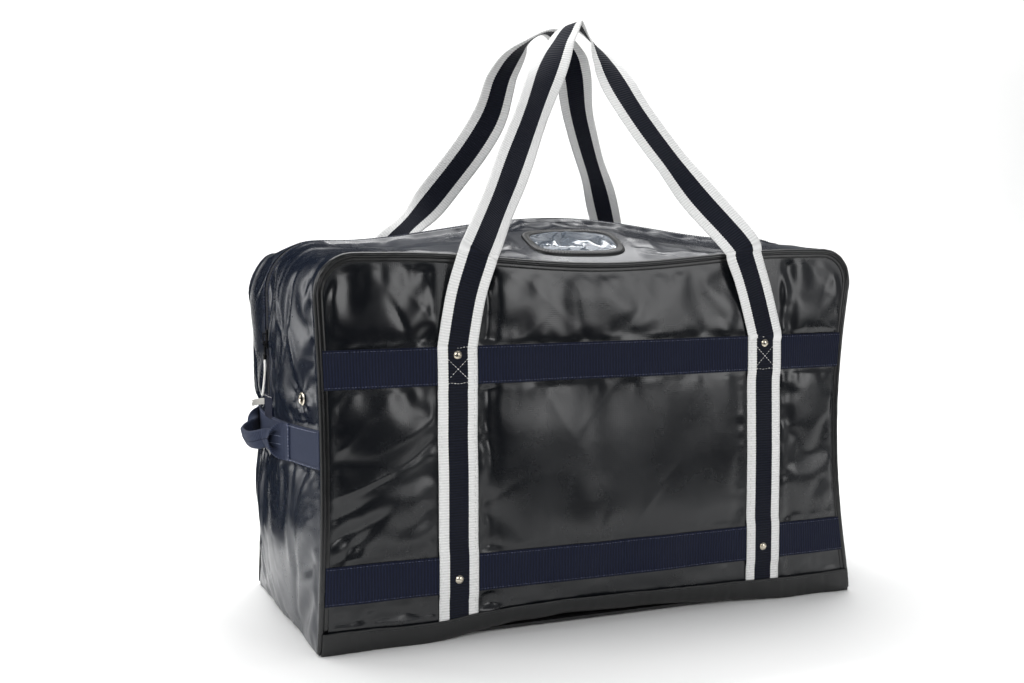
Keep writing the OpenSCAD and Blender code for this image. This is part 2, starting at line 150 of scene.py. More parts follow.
# Uncoated paper: matt, hardly any gloss, with a very faint mottle.
paper_shader.inputs["Roughness"].default_value = 0.95
paper_shader.inputs["Specular IOR Level"].default_value = 0.1
paper_spot = add(paper_tree, "ShaderNodeTexCoord")
paper_noise = add(paper_tree, "ShaderNodeTexNoise", {"Scale": 2.0}, {"Vector": (paper_spot, "Object")})
paper_tone = add(paper_tree, "ShaderNodeMix",
                 {"data_type": "RGBA", 6: linear("#f3f3f2"), 7: linear("#f7f7f6")}, {0: (paper_noise, 0)})
paper_tree.links.new(paper_tone.outputs[2], paper_shader.inputs["Base Color"])
floor = studio_paper()
floor.data.materials.append(paper)


def soft_box(name, place, target, wide, high, radiance):
    """A rectangular soft light aimed at a point, with the same radiance at any size."""
    data = bpy.data.lights.new(name, "AREA")
    data.shape, data.size, data.size_y = "RECTANGLE", wide, high
    data.energy = radiance * math.pi * wide * high
    lamp = bpy.data.objects.new(name, data)
    scene.collection.objects.link(lamp)
    lamp.location = place
    lamp.rotation_euler = (Vector(target) - Vector(place)).to_track_quat("-Z", "Y").to_euler()
    return lamp


def black_flag(name, xs, low, high):
    """A dark card that only mirrored rays see, between two edges along x at low and high (y, z)."""
    corners = [(xs[0], *low), (xs[1], *low), (xs[1], *high), (xs[0], *high)]
    mesh = bpy.data.meshes.new(name)
    mesh.from_pydata(corners, [], [(0, 1, 2, 3)])
    card = bpy.data.objects.new(name, mesh)
    scene.collection.objects.link(card)
    mesh.materials.append(flag_cloth)
    card.visible_camera = card.visible_diffuse = card.visible_shadow = card.visible_transmission = False


soft_box("over_box", (0.1, 0.5, 2.6), (0, 0, 0.4), 2.6, 1.6, 4.6)
soft_box("left_box", (-2.6, 0.3, 1.3), (0, 0, 0.3), 1.0, 1.8, 3.9)
soft_box("left_strip_box", (-2.2, 1.55, 0.95), (-0.3, 0, 0.3), 0.4, 1.7, 3.2)
soft_box("front_box", (1.62, -3.2, 1.02), (0, 0, 0.45), 1.6, 1.6, 3.1)
soft_box("camera_box", (-2.3, -2.9, 1.9), (0, 0, 0.3), 1.8, 1.6, 5.2)
soft_box("back_box", (1.2, 2.6, 1.8), (0, 0, 0.3), 1.6, 1.2, 2.0)
soft_box("wall_wash", (1.9, 2.0, 4.4), (1.9, 4.9, 1.4), 9.5, 1.0, 9.5)
flag_cloth, _, flag_shader = new_material("black_flag_felt")
# Black felt: it gives back almost nothing.
flag_shader.inputs["Base Color"].default_value = linear("#0a0b0d")
flag_shader.inputs["Roughness"].default_value = 1.0
flag_shader.inputs["Specular IOR Level"].default_value = 0.0
black_flag("front_flag", (-2.0, 1.7), (-6.0, 0.004), (-0.70, 0.004))
black_flag("left_front_flag", (-4.5, 0.7), (-4.2, 0.0), (-4.2, 2.4))
black_flag("left_floor_flag", (-3.0, -0.52), (0.35, 0.004), (1.7, 0.004))
black_flag("left_wall_flag", (-1.75, -0.52), (1.7, 0.0), (1.7, 2.4))
black_flag("wall_flag", (-1.2, 2.8), (2.2, 0.75), (2.2, 2.5))
world = bpy.data.worlds.new("studio_air")
world.use_nodes = True
scene.world = world
background = world.node_tree.nodes["Background"]
background.inputs["Color"].default_value = linear("#f4f6fa")
# The air looks pale where the camera sees it directly, and lights the bag only a little.
ray = add(world.node_tree, "ShaderNodeLightPath")
air_strength = add(world.node_tree, "ShaderNodeMath", {"operation": "MULTIPLY_ADD", 1: 0.60, 2: 0.28},
                   {0: (ray, "Is Camera Ray")})
world.node_tree.links.new(air_strength.outputs[0], background.inputs["Strength"])
scene.view_settings.view_transform = "Standard"

# %% [markdown]
# ## The shape of the bag as formulas
# The cloth, the webbing and the seams all follow the same few curved surfaces. They are
# written once, as functions of the place on the bag and of the height above the inner
# face of the cloth, with the same sizes as the solid model.

# %% Sizes of the bag
bag_l, bag_d, bag_h, corner_r = 0.800, 0.386, 0.504, 0.052  # at the seams
half_l, half_d = bag_l / 2, bag_d / 2
top_sag, top_rise, top_crown = 0.016, 0.018, 0.048  # the top seams sag, the cloth between them arches
end_bulge, front_bulge, left_waist, right_waist = 0.018, 0.008, 0.008, 0.026
cloth_t, cloth_drawn, web_t = 0.0015, 0.0012, 0.0022
strap_w, band_w = 0.054, 0.050
strap_left_x, strap_right_x, handle_z, handle_top_z = -0.216, 0.248, 0.384, 0.838
strap_places = (strap_left_x, strap_right_x)
upper_band_z, lower_band_z, base_strip_h = 0.361, 0.088, 0.033
grab_z, zip_low_z, zip_half = 0.261, 0.314, 0.0125
eye_y, eye_z, eye_hole_r = -0.145, 0.322, 0.0052  # the eyelet on each end
window_x, window_y, window_w, window_d = -0.024, -0.142, 0.140, 0.070
band_mid, strap_mid = 0.0026, 0.0048  # heights of webbing over the cloth's inner face
band_rib, stripe_rib, grab_rib = 0.0042, 0.0036, 0.0024  # spacing of the webbing's ribs
end_x = half_l + end_bulge
both_faces = ((-1, "front"), (1, "rear"))
both_ends = ((-1, "left"), (1, "right"))


def smooth(k):
    """0 below 0, 1 above 1 and a smooth step between."""
    c = np.clip(k, 0, 1)
    return c * c * (3 - 2 * c)


def sag(x):
    """How far the top seam hangs down at x."""
    return np.where(np.abs(x) < 0.375 * bag_l, top_sag * np.cos(np.pi * x / (0.75 * bag_l)) ** 2, 0)


def top_z(x):
    """Height of the front panel's outline at x."""
    over = np.clip(np.abs(x) - (half_l - corner_r), 0, corner_r)
    return bag_h - sag(x) - corner_r + np.sqrt(corner_r ** 2 - over ** 2)


def waist(x, z):
    """How far the side seams are drawn in."""
    return np.where(x < 0, left_waist, -right_waist) * np.sin(np.pi * z / bag_h) * (x / half_l) ** 6


def front_plain(x, z, t):
    """The front panel's plain surface, t outside the inner face."""
    swell = front_bulge * (1 - (x / half_l) ** 2) * np.sin(np.pi * z / bag_h)
    return np.stack([x + waist(x, z), -(half_d + swell + t), z + 0 * x], -1)


def seam(u):
    """The seam line, u from 0 up the left side, over the top to 5: x, z, normal x, normal z."""
    u = np.asarray(u, float)
    turned = np.where(u > 2.5, 5 - u, u)
    a = np.pi / 2 * np.clip(turned - 1, 0, 1)
    x_top = (turned - 2.5) * 2 * (half_l - corner_r)
    on_side, on_corner = turned <= 1, (turned > 1) & (turned < 2)
    x = np.where(on_side, -half_l, np.where(on_corner, -half_l + corner_r * (1 - np.cos(a)), x_top))
    z = np.where(on_side, turned * (bag_h - corner_r),
                 np.where(on_corner, bag_h - corner_r + corner_r * np.sin(a), bag_h - sag(x_top)))
    nx = np.where(on_side, -1.0, np.where(on_corner, -np.cos(a), 0.0))
    nz = np.where(on_side, 0.0, np.where(on_corner, np.sin(a), 1.0))
    flip = np.where(u > 2.5, -1.0, 1.0)
    return x * flip, z, nx * flip, nz


def swell(u):
    """How far the ends and the top stand proud of the seam, half way between front and rear."""
    x, z, _, _ = seam(u)
    side = end_bulge + np.abs(waist(x, z))
    grow = np.sin(np.pi / 2 * np.minimum(1, z / (0.35 * bag_h)))
    crown = np.where(np.abs(x) < 0.4 * bag_l, top_crown * np.cos(np.pi * x / (0.8 * bag_l)) ** 2, 0)
    on_side, on_corner = (u <= 1) | (u >= 4), (u < 2) | (u > 3)
    return np.where(on_side, grow * side, np.where(on_corner, side, top_rise + crown))


def strip_plain(u, y, t):
    """The long strip that makes the ends and the top, t outside the inner face."""
    x, z, nx, nz = seam(u)
    out = swell(u) * (1 - (y / half_d) ** 2) + t
    return np.stack([x + waist(x, z) + nx * out, y + 0 * x, z + nz * out], -1)


def u_end(z, side=-1):
    """The seam place u at height z on the left end (side -1) or the right one (side 1)."""
    u = z / (bag_h - corner_r)
    return u if side < 0 else 5 - u


def u_top(x):
    """The seam place u at x on the top."""
    return 2.5 + x / (2 * (half_l - corner_r))


print("top of the seam in the middle", round(float(top_z(np.array(0.0))), 4))

# %% [markdown]
# ## Wrinkles as fields
# Coated cloth is stiff. It keeps soft dents, a few sharp creases, and short puckers along
# every line of stitching, where the thread gathers it. Each kind is a smooth function of
# the place on the panel, built from a seeded random table, so every run gives the same.

# %% Wrinkle helpers
def mottle(a, b, size, seed):
    """Smooth noise from -1 to 1 with bumps about size wide."""
    table = np.random.default_rng(seed).uniform(-1, 1, (128, 128))
    a, b = np.broadcast_arrays(np.asarray(a, float) / size + 40.3, np.asarray(b, float) / size + 40.7)
    i, j = np.floor(a).astype(int), np.floor(b).astype(int)
    p, q = smooth(a - i), smooth(b - j)
    i, j = i % 127, j % 127
    low = table[i, j] * (1 - p) + table[i + 1, j] * p
    high = table[i, j + 1] * (1 - p) + table[i + 1, j + 1] * p
    return low * (1 - q) + high * q


def creases(a, b, count, box, angles, lengths, width, height, seed):
    """A few long sharp folds at random places in box = (a0, a1, b0, b1)."""
    rng = np.random.default_rng(seed)
    total = np.zeros(np.broadcast(a, b).shape)
    for _ in range(count):
        ca, cb = rng.uniform(box[0], box[1]), rng.uniform(box[2], box[3])
        angle, length = rng.uniform(*angles), rng.uniform(*lengths)
        wide, high = width * rng.uniform(0.7, 1.5), height * rng.uniform(0.5, 1.2)
        bend, sign = rng.uniform(-0.12, 0.12), rng.choice([-1.0, 1.0], p=[0.45, 0.55])
        along = ((a - ca) * math.cos(angle) + (b - cb) * math.sin(angle)) / length
        across = ((b - cb) * math.cos(angle) - (a - ca) * math.sin(angle)) - bend * length * along ** 2
        skew = np.where(across > 0, 1.0, 1.9)  # one flank is steeper
        ridge = np.exp(-(np.abs(across) * skew / wide) ** 1.4)
        total += sign * high * ridge * np.clip(1 - along ** 2, 0, 1) ** 2
    return total


def pucker(s, d, pitch, reach, seed):
    """Short ripples at distance d from a stitched line, s along it."""
    fade = np.exp(-np.abs(d) / reach) * (1 - np.exp(-np.abs(d) / 0.004))
    return mottle(s, 0 * s + d * 0.35, pitch, seed) * fade


def between(v, low, high, edge):
    """1 inside low..high, falling to 0 over edge outside it."""
    return smooth((v - low) / edge + 1) * smooth((high - v) / edge + 1)


print("noise sample", round(float(mottle(0.1, 0.2, 0.03, 1)), 4))

# %% [markdown]
# ## Letting the cloth settle
# The panels are sewn a little larger than the space between the bands and seams, so they
# buckle in between. A short cloth simulation on a coarse grid finds that shape: the
# stitched places are pinned, the cloth grows by a little over one per cent, and a soft
# pressure stands for the gear inside. The result is kept as a field of small moves, and
# finer grids read it, which keeps the run short and the surface smooth.

# %% Cloth simulation
settle_steps, settle_limit, bending = 22, 0.009, 4


def settle(name, points, pinned, growth, pressure):
    """Moves of a grid of points after its free cloth has buckled."""
    nu, nv = points.shape[:2]
    index = np.arange(nu * nv).reshape(nu, nv)
    faces = np.stack([index[:-1, :-1], index[1:, :-1], index[1:, 1:], index[:-1, 1:]], -1).reshape(-1, 4)
    mesh = bpy.data.meshes.new(name)
    mesh.from_pydata(points.reshape(-1, 3).tolist(), [], faces.tolist())
    cloth = bpy.data.objects.new(name, mesh)
    scene.collection.objects.link(cloth)
    group = cloth.vertex_groups.new(name="sewn")
    for i in np.flatnonzero(pinned.reshape(-1)):
        group.add([int(i)], 1.0, "REPLACE")
    modifier = cloth.modifiers.new("settle", "CLOTH")
    fabric = modifier.settings
    fabric.quality, fabric.mass, fabric.air_damping = 6, 0.3, 2
    fabric.tension_stiffness = fabric.compression_stiffness = 15
    fabric.shear_stiffness, fabric.bending_stiffness = 8, bending
    fabric.vertex_group_mass, fabric.pin_stiffness = "sewn", 1
    fabric.shrink_min = -growth
    fabric.use_pressure, fabric.uniform_pressure_force = pressure > 0, pressure
    fabric.effector_weights.gravity = 0.15
    modifier.collision_settings.use_collision = False
    modifier.point_cache.frame_end = settle_steps + 2
    for step in range(1, settle_steps + 1):
        scene.frame_set(step)
    settled = cloth.evaluated_get(bpy.context.evaluated_depsgraph_get())
    co = np.zeros(nu * nv * 3, np.float32)
    settled.data.vertices.foreach_get("co", co)
    moves = co.reshape(nu, nv, 3).astype(float) - points
    bpy.data.objects.remove(cloth)
    scene.frame_set(1)
    size = np.linalg.norm(moves, axis=-1, keepdims=True) + 1e-9
    moves = moves * (settle_limit * np.tanh(size / settle_limit) / size)
    moves[1:-1, 1:-1] = 0.5 * moves[1:-1, 1:-1] + 0.125 * (
        moves[:-2, 1:-1] + moves[2:, 1:-1] + moves[1:-1, :-2] + moves[1:-1, 2:])
    moves[pinned > 0] = 0
    print(name, "moved up to", round(float(np.abs(moves).max()) * 1000, 1), "mm")
    return moves


def read_field(field, fa, fb):
    """A field of moves at fractional rows fa and columns fb, on a smooth curve through its points."""
    nu, nv = field.shape[:2]
    fa, fb = np.clip(fa, 0, nu - 1.001), np.clip(fb, 0, nv - 1.001)
    i, j = np.floor(fa).astype(int), np.floor(fb).astype(int)
    p, q = fa - i, fb - j

    def weights(k):
        """How much each of four neighbours counts."""
        return [0.5 * (-k + 2 * k ** 2 - k ** 3), 0.5 * (2 - 5 * k ** 2 + 3 * k ** 3),
                0.5 * (k + 4 * k ** 2 - 3 * k ** 3), 0.5 * (k ** 3 - k ** 2)]

    total = np.zeros(np.shape(fa) + (3,))
    for m, wa in enumerate(weights(p)):
        for n, wb in enumerate(weights(q)):
            ii, jj = np.clip(i + m - 1, 0, nu - 1), np.clip(j + n - 1, 0, nv - 1)
            total += (wa * wb)[..., None] * field[ii, jj]
    return total


# Front and rear: pinned at the rim, under the bands and under the straps.
front_reach, front_tall = 0.402, 0.508
front_x, front_z = np.linspace(-front_reach, front_reach, 101), np.linspace(0.0, front_tall, 65)
grid_x, grid_z = np.meshgrid(front_x, front_z, indexing="ij")
under_strap = (np.abs(grid_x - strap_left_x) < 0.029) | (np.abs(grid_x - strap_right_x) < 0.029)
under_band = (np.abs(grid_z - upper_band_z) < 0.027) | (np.abs(grid_z - lower_band_z) < 0.027)
at_rim = (np.abs(grid_x) > 0.390) | (grid_z < base_strip_h) | (grid_z > top_z(grid_x) - 0.010)
sewn_front = under_strap | under_band | at_rim
panel_moves = {}
for (side, name), seed in zip(both_faces, (11, 12)):
    # A faint uneven start tells the cloth which way to buckle.
    uneven_start = front_plain(grid_x, grid_z, 0.0)
    uneven_start[..., 1] += 0.0022 * mottle(grid_x, grid_z, 0.055, seed) * ~sewn_front
    panel_moves[side] = settle(f"{name}_settling", uneven_start, sewn_front, growth=0.014, pressure=0.8)

# The long strip: pinned at both seams, along the zip, under the end webbing and the window.
strip_u = np.concatenate([np.linspace(0, 1, 51)[:-1], np.linspace(1, 2, 11)[:-1],
                          np.linspace(2, 3, 79)[:-1], np.linspace(3, 4, 11)[:-1],
                          np.linspace(4, 5, 51)])
strip_y = np.linspace(-half_d, half_d, 45)
grid_u, grid_y = np.meshgrid(strip_u, strip_y, indexing="ij")
seam_x, seam_z, _, _ = seam(grid_u)
on_ends = (grid_u < 1) | (grid_u > 4)
along_zip = (np.abs(grid_y) < 0.017) & ((seam_z > 0.28) | ~on_ends)
under_grab = on_ends & (np.abs(seam_z - grab_z) < 0.029)
under_window = (~on_ends & (np.abs(seam_x - window_x) < window_w / 2 + 0.006)
                & (np.abs(grid_y - window_y) < window_d / 2 + 0.005))
sewn_strip = (np.abs(grid_y) > half_d - 0.012) | along_zip | under_grab | under_window | (seam_z < 0.006)
strip_start = strip_plain(grid_u, grid_y, 0.0)
_, _, strip_nx, strip_nz = seam(grid_u)
uneven = 0.002 * mottle(grid_u * 0.45, grid_y, 0.05, 21) * ~sewn_strip
strip_start[..., 0] += strip_nx * uneven
strip_start[..., 2] += strip_nz * uneven
strip_moves = settle("strip_settling", strip_start, sewn_strip, growth=0.013, pressure=0.7)
print("settled")

# %% [markdown]
# ## The wrinkled surfaces
# The settled moves, the dents, the creases and the puckers are added to the plain
# surfaces. A mask keeps the cloth still where webbing is sewn to it, so that nothing pokes
# through. The webbing follows only the slow waves of the panel.

# %% Surfaces with their wrinkles
rivet_heights = (upper_band_z + 0.014, lower_band_z - 0.006)


def rim_distance(x, z):
    """Distance from the front panel's outline."""
    dx, dz = np.abs(x) - (half_l - corner_r), z - (top_z(x) - corner_r)
    rounded = corner_r - np.hypot(np.maximum(dx, 0), np.maximum(dz, 0))
    straight = np.minimum(half_l - np.abs(x), top_z(x) - z)
    return np.clip(np.where((dx > 0) & (dz > 0), rounded, straight), 0, None)


def slow_wave(x, z, seed):
    """Slow waves that cloth and webbing share, still at the rivets and the rims."""
    wave = 0.0022 * mottle(x, z, 0.105, seed) + 0.0012 * mottle(x, z, 0.05, seed + 1)
    still = np.ones(np.broadcast(x, z).shape)
    for sx in strap_places:
        for rz in rivet_heights:
            still = still * smooth((np.hypot(x - sx, z - rz) - 0.016) / 0.05)
        still = still * (1 - between(x, sx - 0.03, sx + 0.03, 0.01) * smooth((z - 0.33) / 0.03))
    return wave * still * smooth(rim_distance(x, z) / 0.05) * smooth((z - 0.03) / 0.03)


def tuck(x, z):
    """The bottom edge turns in under the bag, most of all in the middle."""
    depth = 0.007 + 0.021 * between(x, -0.12, 0.12, 0.16) + 0.003 * mottle(x, 0 * x, 0.06, 31)
    radius = 0.034
    low = np.clip((radius - z) / radius, 0, 1)
    return depth * (1 - np.sqrt(np.clip(1 - low ** 2, 0, 1)))


def curl(x, z):
    """The bottom edge curls up off the floor between the corners, soonest at the left."""
    most = 0.011 * smooth((x + 0.25) / 0.17) * smooth((0.35 - x) / 0.42) + 0.0012 * mottle(
        x, 0 * x, 0.045, 33) * between(x, -0.3, 0.3, 0.06)
    return np.clip(most, 0, None) * smooth((0.062 - z) / 0.060)


def front_free(x, z):
    """1 where the front cloth is free, 0 where webbing is sewn over it."""
    held = np.maximum(between(z, upper_band_z - 0.0255, upper_band_z + 0.0255, 0.007),
                      between(z, lower_band_z - 0.0255, lower_band_z + 0.0255, 0.007))
    for sx in strap_places:
        held = np.maximum(held, between(x, sx - 0.0275, sx + 0.0275, 0.008))
    held = np.maximum(held, smooth((base_strip_h + 0.008 - z) / 0.008))
    return (1 - held) * smooth((rim_distance(x, z) - 0.008) / 0.014)


def restless(x, z):
    """How wrinkled each bay is: the middle is nearly flat, the outer bays are not."""
    middle = between(x, -0.150, 0.200, 0.05)
    return 1 - middle * (0.50 + 0.18 * smooth((0.36 - z) / 0.05)) - 0.2 * smooth((x - 0.27) / 0.03)


def front_wrinkles(x, z, seed):
    """How far the free front cloth stands out, besides its settled moves."""
    out = 0.0030 * mottle(x, z, 0.13, seed) + 0.0003 * mottle(x, z, 0.035, seed + 1)
    out += creases(x, z, 18, (-0.38, 0.38, 0.12, 0.48), (0.5, 2.4), (0.04, 0.10), 0.008, 0.0022,
                   seed + 2)
    out += creases(x, z, 7, (-0.38, -0.25, 0.12, 0.32), (0.3, 1.2), (0.05, 0.10), 0.008, 0.0028,
                   seed + 3)
    out *= restless(x, z)
    for sx in strap_places:  # the cloth sinks beside each strap
        for off, deep in ((0.0445, 0.0100 if sx < 0 else 0.0035), (-0.042, 0.0018)):
            line = x - sx - off - 0.004 * mottle(z, 0 * z, 0.05, seed + 5)
            depth = deep * (0.65 + 0.35 * mottle(z, 0 * z, 0.07, seed + 6))
            out -= depth * np.exp(-(line / 0.0095) ** 2)
    for middle in (upper_band_z, lower_band_z):
        away = np.abs(z - middle) - band_w / 2
        out += 0.0015 * pucker(x, np.clip(away, 0, None), 0.010, 0.011, seed + 7) * (away > 0)
    out += 0.0022 * pucker(x + z, rim_distance(x, z), 0.011, 0.013, seed + 8)
    for sx in strap_places:
        away = np.abs(x - sx) - strap_w / 2
        out += 0.0014 * pucker(z, np.clip(away, 0, None), 0.011, 0.010, seed + 9) * (away > 0)
    return out


def front_surface(x, z, t, side, cloth=False):
    """The front panel (side -1) or the rear one (side 1), wrinkled, t outside the inner face."""
    seed = 100 if side < 0 else 200
    p = front_plain(x, z, t)
    p[..., 1] -= slow_wave(x, z, seed) - tuck(x, z)
    p[..., 2] += curl(x, z)
    if cloth:
        free = front_free(x, z)
        part = free * restless(x, z)
        rows = (x + front_reach) / (2 * front_reach) * (len(front_x) - 1)
        columns = z / front_tall * (len(front_z) - 1)
        p += part[..., None] * read_field(panel_moves[side], rows, columns)
        p[..., 1] -= free * front_wrinkles(x, z, seed + 10)
    if side > 0:
        p[..., 1] *= -1
    return p


def strip_free(u, y):
    """1 where the cloth of the ends and the top is free."""
    x, z, _, _ = seam(u)
    end = (u < 1.0) | (u > 4.0)
    held = between(y, -0.0175, 0.0175, 0.006) * np.where(end, smooth((z - 0.276) / 0.01), 1.0)
    held = np.maximum(held, end * between(z, grab_z - 0.0255, grab_z + 0.0255, 0.007))
    frame_side = np.maximum(np.abs(x - window_x) / (window_w / 2 + 0.012),
                            np.abs(y - window_y) / (window_d / 2 + 0.0105))
    held = np.maximum(held, ~end * smooth((1.14 - frame_side) / 0.14))
    eye = np.hypot(np.where(end, z - eye_z, 1.0), y - eye_y)
    held = np.maximum(held, smooth((0.017 - eye) / 0.007))
    return (1 - held) * smooth((half_d - 0.002 - np.abs(y)) / 0.012)


def strip_along(u):
    """Length along the seam line at u, in metres."""
    table = np.linspace(0, 5, 2001)
    x, z, _, _ = seam(table)
    run = np.concatenate([[0], np.cumsum(np.hypot(np.diff(x), np.diff(z)))])
    return np.interp(u, table, run)


def strip_wrinkles(u, y):
    """How far the free cloth of the ends and the top stands out, besides its settled moves."""
    s = strip_along(u)
    _, z, _, _ = seam(u)
    out = 0.0030 * mottle(s, y, 0.095, 301) + 0.0004 * mottle(s, y, 0.03, 302)
    # All over; on the front half of the top; low on the left end; round the left corner.
    out += creases(s, y, 26, (0.0, 1.76, -0.17, 0.17), (-0.4, 0.4), (0.06, 0.14), 0.0085, 0.0030, 303)
    out += creases(s, y, 16, (0.62, 1.12, -0.18, -0.03), (-0.35, 0.35), (0.06, 0.12), 0.007, 0.0030, 304)
    out += creases(s, y, 12, (0.02, 0.22, -0.17, 0.17), (-0.3, 0.3), (0.06, 0.10), 0.010, 0.0030, 305)
    out += creases(s, y, 8, (0.34, 0.56, -0.17, 0.17), (-0.7, 0.7), (0.06, 0.11), 0.0065, 0.0030, 306)
    edge = half_d - np.abs(y)
    out += 0.0024 * pucker(s, edge, 0.012, 0.016, 307)
    beside_zip = np.abs(y) - 0.016
    out += 0.0014 * pucker(s, np.clip(beside_zip, 0, None), 0.012, 0.012, 308) * (beside_zip > 0)
    end = (u < 1.0) | (u > 4.0)
    for away in (z - grab_z - band_w / 2, grab_z - band_w / 2 - z):
        out += end * 0.0022 * pucker(y, np.clip(away, 0, None), 0.010, 0.014, 309) * (away > 0)
    eye = np.hypot(np.where(end, z - eye_z, 1.0), y - eye_y)
    star = np.sin(9 * np.arctan2(y - eye_y, z - eye_z))  # nine short pleats round the eyelet
    out += end * 0.0016 * star * np.exp(-(eye - 0.009).clip(0) / 0.008)
    return out


def strip_surface(u, y, t, cloth=False):
    """The ends and the top, wrinkled, t outside the inner face."""
    p = strip_plain(u, y, t)
    if cloth:
        _, _, nx, nz = seam(u)
        free = strip_free(u, y)
        rows = np.interp(u, strip_u, np.arange(len(strip_u)))
        columns = (y + half_d) / bag_d * (len(strip_y) - 1)
        p += free[..., None] * read_field(strip_moves, rows, columns)
        out = free * strip_wrinkles(u, y)
        p[..., 0] += nx * out
        p[..., 2] += nz * out
    return p


sample = front_surface(np.array([0.0, 0.1]), np.array([0.2, 0.25]), cloth_t, -1, cloth=True)
print("front cloth at two places", sample.round(4).tolist())

# %% [markdown]
# ## From grids to meshes
# Cloth and webbing are closed meshes: a grid of outer points, a grid of inner points and a
# rim between them. The faces outside the cut are left out before the rim is made. A
# neighbouring piece that continues the same surface gets the same shading normals, so no
# line shows where two of them meet.

# %% Mesh helpers
def unit(v):
    """Vectors scaled to length 1."""
    return v / np.maximum(np.linalg.norm(v, axis=-1, keepdims=True), 1e-12)


def grid_normals(points):
    """Normals of a grid of points."""
    along, across = np.gradient(points, axis=0), np.gradient(points, axis=1)
    return unit(np.cross(along, across))


def two_sided(name, outer, inner, material, keep=None, uv=None, normals=None, wrap=False):
    """A closed sheet between a grid of outer points and a grid of inner points."""
    nu, nv = outer.shape[:2]
    n = nu * nv
    index = np.arange(n).reshape(nu, nv)
    if wrap:
        index = np.concatenate([index, index[:1]])
    quads = np.stack([index[:-1, :-1], index[1:, :-1], index[1:, 1:], index[:-1, 1:]], -1)
    keep = np.ones(quads.shape[:2], bool) if keep is None else keep
    quads = quads[keep]
    flat = outer.reshape(-1, 3)
    a, b, c, d = quads[len(quads) // 2]
    if np.cross(flat[c] - flat[a], flat[d] - flat[b]) @ (flat[a] - inner.reshape(-1, 3)[a]) < 0:
        quads = quads[:, ::-1]
    edges = np.concatenate([quads[:, [k, (k + 1) % 4]] for k in range(4)])
    code = edges.min(1).astype(np.int64) * n + edges.max(1)
    _, first, count = np.unique(code, return_index=True, return_counts=True)
    rim = edges[first[count == 1]]
    rim_quads = np.stack([rim[:, 1], rim[:, 0], rim[:, 0] + n, rim[:, 1] + n], -1)
    faces = np.concatenate([quads, quads[:, ::-1] + n, rim_quads])
    used, renumbered = np.unique(faces, return_inverse=True)
    renumbered = renumbered.reshape(faces.shape)
    points = np.concatenate([flat, inner.reshape(-1, 3)])[used]
    mesh = bpy.data.meshes.new(name)
    mesh.vertices.add(len(points))
    mesh.vertices.foreach_set("co", points.astype(np.float32).ravel())
    mesh.loops.add(faces.size)
    mesh.loops.foreach_set("vertex_index", renumbered.astype(np.int32).ravel())
    mesh.polygons.add(len(faces))
    mesh.polygons.foreach_set("loop_start", np.arange(0, faces.size, 4, dtype=np.int32))
    smooth_face = np.ones(len(faces), bool)
    smooth_face[2 * len(quads):] = False
    mesh.polygons.foreach_set("use_smooth", smooth_face)
    mesh.update(calc_edges=True)
    if uv is not None:
        both = np.concatenate([uv.reshape(-1, 2), uv.reshape(-1, 2)])[faces.ravel()]
        layer = mesh.uv_layers.new(name="cut")
        layer.data.foreach_set("uv", both.astype(np.float32).ravel())
    mesh.materials.append(material)
    if normals is not None:
        lines = np.concatenate([normals.reshape(-1, 3), -normals.reshape(-1, 3)])[faces.ravel()]
        corner = points[renumbered[2 * len(quads):]]
        rim_normal = unit(np.cross(corner[:, 1] - corner[:, 0], corner[:, 2] - corner[:, 0]))
        lines[8 * len(quads):] = np.repeat(rim_normal, 4, axis=0)
        mesh.normals_split_custom_set(lines.tolist())
    mesh.validate(clean_customdata=False)
    piece = bpy.data.objects.new(name, mesh)
    scene.collection.objects.link(piece)
    return piece


def lengths(points):
    """Distance along a line of points."""
    return np.concatenate([[0], np.cumsum(np.linalg.norm(np.diff(points, axis=0), axis=1))])


def curve(points, steps):
    """A smooth curve through points, with the same steps in each span."""
    p = np.array(points, float)
    out = []
    for i in range(len(p) - 1):
        a, b, c, d = p[max(0, i - 1)], p[i], p[i + 1], p[min(len(p) - 1, i + 2)]
        for k in np.arange(steps) / steps:
            bend = (2 * a - 5 * b + 4 * c - d) + k * (3 * (b - c) + d - a)
            out.append(b + 0.5 * k * ((c - a) + k * bend))
    return np.array(out + [p[-1]])


def evenly(points, step):
    """The line again with points about step apart."""
    run = lengths(points)
    at = np.linspace(0, run[-1], max(2, int(round(run[-1] / step)) + 1))
    return np.stack([np.interp(at, run, points[:, k]) for k in range(3)], -1)


def headings(points):
    """The direction of a line at each of its points."""
    return unit(np.gradient(points, axis=0))


def webbing(name, line, facing, wide, thick, material, rib, rib_high, columns):
    """A flat woven strap along a line, with its ribs across it and thin rounded edges."""
    ahead = headings(line)
    across = unit(np.cross(ahead, facing))
    face = unit(np.cross(across, ahead))
    run = lengths(line)
    # The columns crowd towards the edges, where the strap grows thin.
    c = (np.sin(np.linspace(-np.pi / 2, np.pi / 2, columns + 1)) * 0.35
         + np.linspace(-1, 1, columns + 1) * 0.65)
    edge = 1 - 0.55 * np.abs(c) ** 8
    half = (thick / 2 + rib_high * np.cos(2 * np.pi * run / rib))[:, None] * edge[None]
    middle = line[:, None] + across[:, None] * (c[None, :, None] * wide / 2)
    lifted = face[:, None] * half[..., None]
    uv = np.stack(np.broadcast_arrays(run[:, None], c[None] * wide / 2), -1)
    return two_sided(name, middle + lifted, middle - lifted, material, uv=uv)


